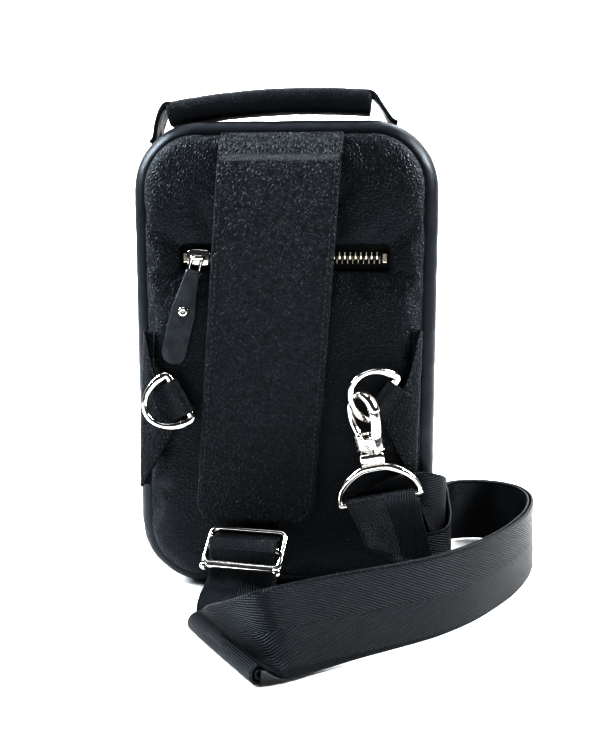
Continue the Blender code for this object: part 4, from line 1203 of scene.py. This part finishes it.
def snap_hook():
    """The swivelling hook: its post, the body with the hinge pin, the bow and the sprung gate."""
    neck = disc("swivel_post_cast", on_hook(22.0, 0), HOOK_UP,
                [(0.0, 2.4), (0.9, 2.4), (1.1, 2.0), (2.2, 2.0), (2.4, 2.9), (3.2, 2.9)])
    piece(neck, "hook", "nickel", "swivel_post")
    side = [(3.6, 2.4), (3.6, 0.8), (3.0, 0.15), (2.2, 0.0)]
    levels = [(-height, inset) for height, inset in side] + side[::-1]
    body = [(-4.9, 25.4), (5.4, 25.4), (6.3, 25.8), (6.6, 27.0), (6.6, 33.0), (6.2, 34.0), (4.6, 34.2),
            (1.6, 34.0), (-0.4, 33.2), (-1.8, 34.4), (-2.6, 36.0), (-6.6, 36.2), (-6.8, 34.0), (-6.0, 27.0),
            (-5.6, 25.8)]
    cast = slab("hook_body_cast", [p.xy for p in curve(body, 3, True)], levels, NICKEL, BAIL_BASE,
                basis(HOOK_SIDE, HOOK_UP))
    piece(cast, "hook", "nickel", "hook_body")
    bow = [(-5.0, 33.6), (-6.2, 37.0), (-7.6, 41.5), (-7.9, 46.0), (-7.0, 50.4), (-4.6, 54.0), (-1.0, 56.0),
           (3.0, 55.4), (6.2, 52.4), (7.6, 48.4), (7.8, 46.9)]
    hook_part("hook_bow", "hook", bow,
              lambda p, t: (1.8 + 0.8 * clamp((p.x + 3.0) / 8.0), 2.4 + 0.8 * clamp((p.x + 2.0) / 8.0)), 0.78)
    gate = [(5.6, 33.2), (6.2, 36.4), (6.9, 40.0), (7.5, 45.9)]
    hook_part("hook_gate", "gate", gate, lambda p, t: (2.0 + 0.25 * sin(pi * t), 3.0), 0.7)
    head = [(-3.95, 1.3), (-3.9, 1.7), (-3.6, 1.75), (3.6, 1.75), (3.95, 1.6), (4.15, 1.1), (4.2, 0.4)]
    piece(disc("gate_pin_rivet", on_hook(31.0, 4.6), -HOOK_NORMAL, head), "hook", "nickel", "gate_pin")


bail()
snap_hook()


# ---- adjuster ----
def densify(points, step):
    """More points along a closed outline, no further apart than a step."""
    dense = []
    for i, p in enumerate(points):
        p, q = Vector(p), Vector(points[(i + 1) % len(points)])
        parts = max(1, round((q - p).length / step))
        dense += [p.lerp(q, k / parts) for k in range(parts)]
    return dense


def adjuster():
    """The rectangular slide with a lug at each lower corner and a loose bar across its middle."""
    across = ADJ_TURN.col[0]
    ring = densify(rounded_box(-21.1, 21.1, -ADJ_HALF, ADJ_HALF, 3.4), 3.0)
    radii = [(1.2 + 0.8 * clamp(-p.y / ADJ_HALF) ** 4, 1.5) for p in ring]
    frame_bar = bar("adjuster_frame_cast", [ADJUSTER + ADJ_TURN @ p.to_3d() for p in ring], radii,
                    ADJ_TURN.col[2], True, box=0.8)
    piece(frame_bar, "adjuster", "nickel", "adjuster_frame")
    for end, side in (("left", -1), ("right", 1)):
        spot = ADJUSTER + ADJ_TURN @ Vector((side * 20.4 - 2.0, -ADJ_HALF - 1.2, 0))
        levels = [(0.0, 0.8), (0.35, 1.7), (1.1, 2.1), (2.0, 2.25), (2.9, 2.1), (3.65, 1.7), (4.0, 0.8)]
        piece(disc("adjuster_lug_" + end, spot, across, levels), "adjuster", "nickel")
    levels = [(0.0, 1.2), (0.4, 1.55), (19.0, 1.6), (37.8, 1.55), (38.2, 1.2)]
    piece(disc("adjuster_bar_cast", ADJUSTER - across * 19.1, across, levels), "adjuster", "nickel",
          "adjuster_bar")


adjuster()


# ---- zips ----
def tooth(origin, along, outward, up, root):
    """Rings of one zip tooth: it clamps the tape and its head reaches past the middle of the chain."""
    side = [(0.46, root), (0.50, 0.9), (0.60, 0.35), (0.62, -0.35), (0.42, -0.95)]
    outline = side + [(-x, y) for x, y in reversed(side)]
    levels = ((-0.75, 1.0, 1.0, 0.0), (0.45, 1.0, 1.0, 0.0), (0.80, 0.72, 0.94, 0.06))
    rings = []
    for height, size, reach, shift in levels:
        crowns = [height - (0.25 if y < 0.4 and height > 0 else 0.0) for x, y in outline]
        rings.append([origin + along * x * size + outward * (y * reach + shift) + up * crown
                      for (x, y), crown in zip(outline, crowns)])
    return rings


def chain(name, body, spots, node):
    """A row of teeth at (origin, along, outward, up, root) places."""
    verts, faces = [], []
    for spot in spots:
        rings = tooth(*spot)
        faces += [tuple(len(verts) + i for i in f) for f in skin(rings)]
        verts += [v for ring in rings for v in ring]
    piece(build(name, verts, faces, TEETH, False), body, "teeth", node)


def straight_row(start, count, way, first, up, root):
    """Places of one side's teeth in a chain that runs along X."""
    return [(start + RIGHT * PITCH * (first + i), RIGHT, DOWN * -way, up, root) for i in range(count)]


def rear_chain():
    start = Vector((ZIP_LEFT, ZIP_LOW.y + 0.75, ZIP_Z))
    count = int((ZIP_RIGHT - ZIP_LEFT) / PITCH) - 1
    for part, way, first in (("upper", 1, 1.0), ("lower", -1, 1.5)):
        chain("back_chain_" + part, "root",
              straight_row(start, count, way, first, BACKWARD, ZIP_HIGH.z - ZIP_Z), "back_zip_teeth_" + part)


def front_chain():
    low, high = cad("front_zip_teeth")
    start = Vector((low.x, (low.y + high.y) / 2 - 0.2, (low.z + high.z) / 2))
    count = int((high.x - low.x) / PITCH)
    rows = [straight_row(start, count, way, first, FORWARD, 2.6) for way, first in ((1, 0.5), (-1, 1.0))]
    chain("front_chain", "front_leaf", rows[0] + rows[1], "front_zip_teeth")


def along_arch(level, spacing, offset):
    """Places at even steps along the gusset's zip, as (point, tangent, outward)."""
    path = part_outline(level, True)
    places = []
    run, wait = 0.0, offset
    for (x0, z0, nx0, nz0), (x1, z1, nx1, nz1) in zip(path, path[1:]):
        step = hypot(x1 - x0, z1 - z0)
        while wait < run + step:
            t = (wait - run) / step
            outward = Vector((nx0 + (nx1 - nx0) * t, 0, nz0 + (nz1 - nz0) * t)).normalized()
            places.append((Vector((x0 + (x1 - x0) * t, 0, z0 + (z1 - z0) * t)),
                           Vector((-outward.z, 0, outward.x)), outward))
            wait += spacing
        run += step
    return places


def main_chain():
    for part, body, way, first in (("rear", "root", -1, 0.5), ("front", "front_leaf", 1, 1.0)):
        spots = [(point + FORWARD * GUSSET_ZIP_Y - outward * 0.55, tangent, FORWARD * way, outward, 2.4)
                          for point, tangent, outward in along_arch(HINGE_Z + 1.0, PITCH, PITCH * first)]
        chain("main_chain_" + part, body, spots, "main_zip_teeth_" + part)


def slider(part, forward, up):
    """A zip slider: a waisted plate with a rounded top and a bridge that carries its pull."""
    name, node = part + "_slider", part + "_zip_slider"
    centre = middle_of(node)
    across = up.cross(forward)
    half = [(3.3, -6.0), (4.3, -2.0), (4.6, 2.4), (3.9, 5.6), (1.6, 6.4)]
    plan = curve([(-3.3, -6.0)] + half + [(-x, y) for x, y in half[:0:-1]], 3, True)
    levels = [(-0.9, 0.3), (-0.3, 0.0), (0.4, 0.1), (0.8, 0.6), (1.0, 1.6)]
    plate = slab(name + "_plate", [p.xy for p in plan], levels, NICKEL, centre,
                 Matrix((across, forward, up)).transposed())
    line = ((-4.4, 0.3), (-3.9, 2.2), (-2.2, 3.2), (0.0, 3.4), (2.2, 3.0), (3.8, 1.6), (4.2, 0.4))
    bridge = bar(name + "_bridge", [centre + forward * f + up * h for f, h in line], (0.55, 1.25), across,
                 sides=12, box=0.7)
    piece(merged(name + "_cast", [plate, bridge]), name, "nickel", node)


def tab(part, top, down, across, out, length, half_widths, thick):
    """A leather pull tab: a strip with a round end that bows out a little in its middle."""
    steps = 22
    rulings = []
    for i in range(steps + 1):
        t = i / steps
        w = half_widths[0] + (half_widths[1] - half_widths[0]) * min(1.0, t * 2.2)
        beyond = max(0.0, t * length - (length - w))
        w = sqrt(max(w * w - beyond * beyond, 0.09))
        rulings += either_side([top + down * t * length + out * (0.5 * sin(pi * t) - 0.6)], across * w)
    obj = ribbon(part + "_pull_tab", rulings, thick, TAB_LEATHER,
                 lambda s, wide, run, face: 0.3 * wave((s, run, face), 5.0, 6.0), 12, 0.9)
    piece(obj, part + "_pull", "leather", part + "_zip_pull")


LINK_LEAN = radians(14.0)


def back_pull():
    """The rear zip's pull: a wire link and a riveted tab that hang askew from the slider."""
    pivot = joint_at("back_link_sway")
    up = Vector((sin(LINK_LEAN), 0, cos(LINK_LEAN)))
    across = Vector((cos(LINK_LEAN), 0, -sin(LINK_LEAN)))

    def below(distance, sideways, y):
        spot = pivot + across * sideways - up * distance
        return Vector((spot.x, y, spot.z))

    link_y, tab_y = middle_of("back_zip_link").y, middle_of("back_zip_pull").y
    loop = [below(-z, x, link_y) for x, z in rounded_box(-2.75, 2.75, -7.7, 2.15, 1.6, 5)]
    piece(bar("back_link_cast", loop, (0.75, 0.72), BACKWARD, True, 14, 0.7), "back_link", "nickel",
          "back_zip_link")
    tab("back", below(4.9, 0.0, tab_y), -up, across, BACKWARD, 51.3, (3.6, 6.8), 2.1)
    head = [(-1.5, 1.9), (0.6, 2.5), (0.9, 2.4), (1.2, 1.9), (1.0, 1.2), (1.05, 0.5)]
    button = disc("back_pull_rivet_head", below(27.0, 0.0, tab_y - 0.9), BACKWARD, head)
    piece(button, "back_pull", "nickel", "back_zip_pull_rivet")


def plain_pull(part, across, out, length):
    """A straight tab that hangs down from the main or the front slider."""
    node = part + "_zip_pull"
    top = middle_of(node)
    top.z = cad(node)[1].z
    tab(part, top, DOWN, across, out, length, (3.6, 4.5), 2.0)


rear_chain()
front_chain()
main_chain()
slider("back", -RIGHT, BACKWARD)
slider("front", -RIGHT, FORWARD)
slider("main", -DOWN, -RIGHT)
back_pull()
plain_pull("main", FORWARD, -RIGHT, 32.0)
plain_pull("front", RIGHT, FORWARD, 34.0)


# ---- handle ----
GRIP_LOW, GRIP_HIGH = cad("handle_grip")
GRIP_Y = middle_of("handle_grip").y


def handle():
    """A padded grip: an upper flap that overlaps a smoother lower band, arched along its length."""
    top_x, top_z, arch_rate = 10.4, 261.3, 0.00124
    section = densify(rounded_box(-10.0, 10.0, -6.5, 6.5, 4.5, 7), 1.3)
    end = 0.6
    left, right = GRIP_LOW.x + end, GRIP_HIGH.x - end
    steps = 60
    stations = [(left - end, 0.72), (left - 0.35, 0.93)]
    stations += [(left + (right - left) * i / steps, 1.0) for i in range(steps + 1)]
    stations += [(right + 0.35, 0.93), (right + end, 0.72)]
    rings = []
    for x, shrink in stations:
        lean = Vector((2 * arch_rate * (x - top_x), 0, 1.0)).normalized()
        middle = Vector((x, GRIP_Y, top_z - arch_rate * (x - top_x) ** 2))
        ring = []
        for y, z in section:
            on_side = abs(y) > 8.0
            step = -0.75 if z < -1.6 and on_side or z < -3.0 else 0.0
            groove = -0.6 * exp(-((z + 1.2) / 0.5) ** 2) if on_side else 0.0
            ripple = 0.35 * wave((x, y, z), 6.0, 9.0)
            wide = y * (1.0 + (step + groove + ripple) / 10.0) * shrink
            tall = z * (1.0 + (step + ripple) / 14.0) * shrink
            ring.append(middle + FORWARD * wide + lean * tall)
        rings.append(ring)
    obj = loft("handle_grip_skin", rings, GRIP_LEATHER)
    piece(obj, "handle", "leather", "handle_grip")


def handle_straps():
    """The grip's flat ends: they bend down to the shell."""
    left, right = GRIP_LOW.x, GRIP_HIGH.x
    lines = (("left", ((left + 1.5, 260.6), (left - 1.4, 259.6), (left - 4.0, 255.6), (left - 6.0, 249.5),
                       (left - 7.1, 242.9), (left - 9.2, 239.9))),
             ("right", ((right - 1.5, 264.6), (right + 1.6, 263.6), (right + 4.8, 259.0),
                        (right + 8.2, 253.9), (right + 10.9, 250.6), (right + 13.6, 249.2))))
    for part, line in lines:
        points = catmull([Vector((x, GRIP_Y, z)) for x, z in line], 6)
        obj = ribbon("handle_end_" + part, either_side(points, FORWARD * 9.3), 2.2, ROLL_LEATHER,
                     lambda s, wide, run, face: 0.7 * wave((s, run * 0.6, 2), 4.5, 11.0), 18, 0.9)
        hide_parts("handle_strap_" + part)
        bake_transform(obj)


handle()
handle_straps()


# ---- CAD nodes that keep their shape ----
KEPT = {"leather": PANEL_LEATHER, "nickel": NICKEL, "teeth": TEETH, "tape": TAPE, "foam": FOAM,
        "lining": LINING, "webbing": WEBBING}
for entry in frame["record"]["subparts"]:
    node = frame["nodes"][entry["node"]]
    for place in node.material_slots:
        place.material = KEPT[entry["material_slot"]]
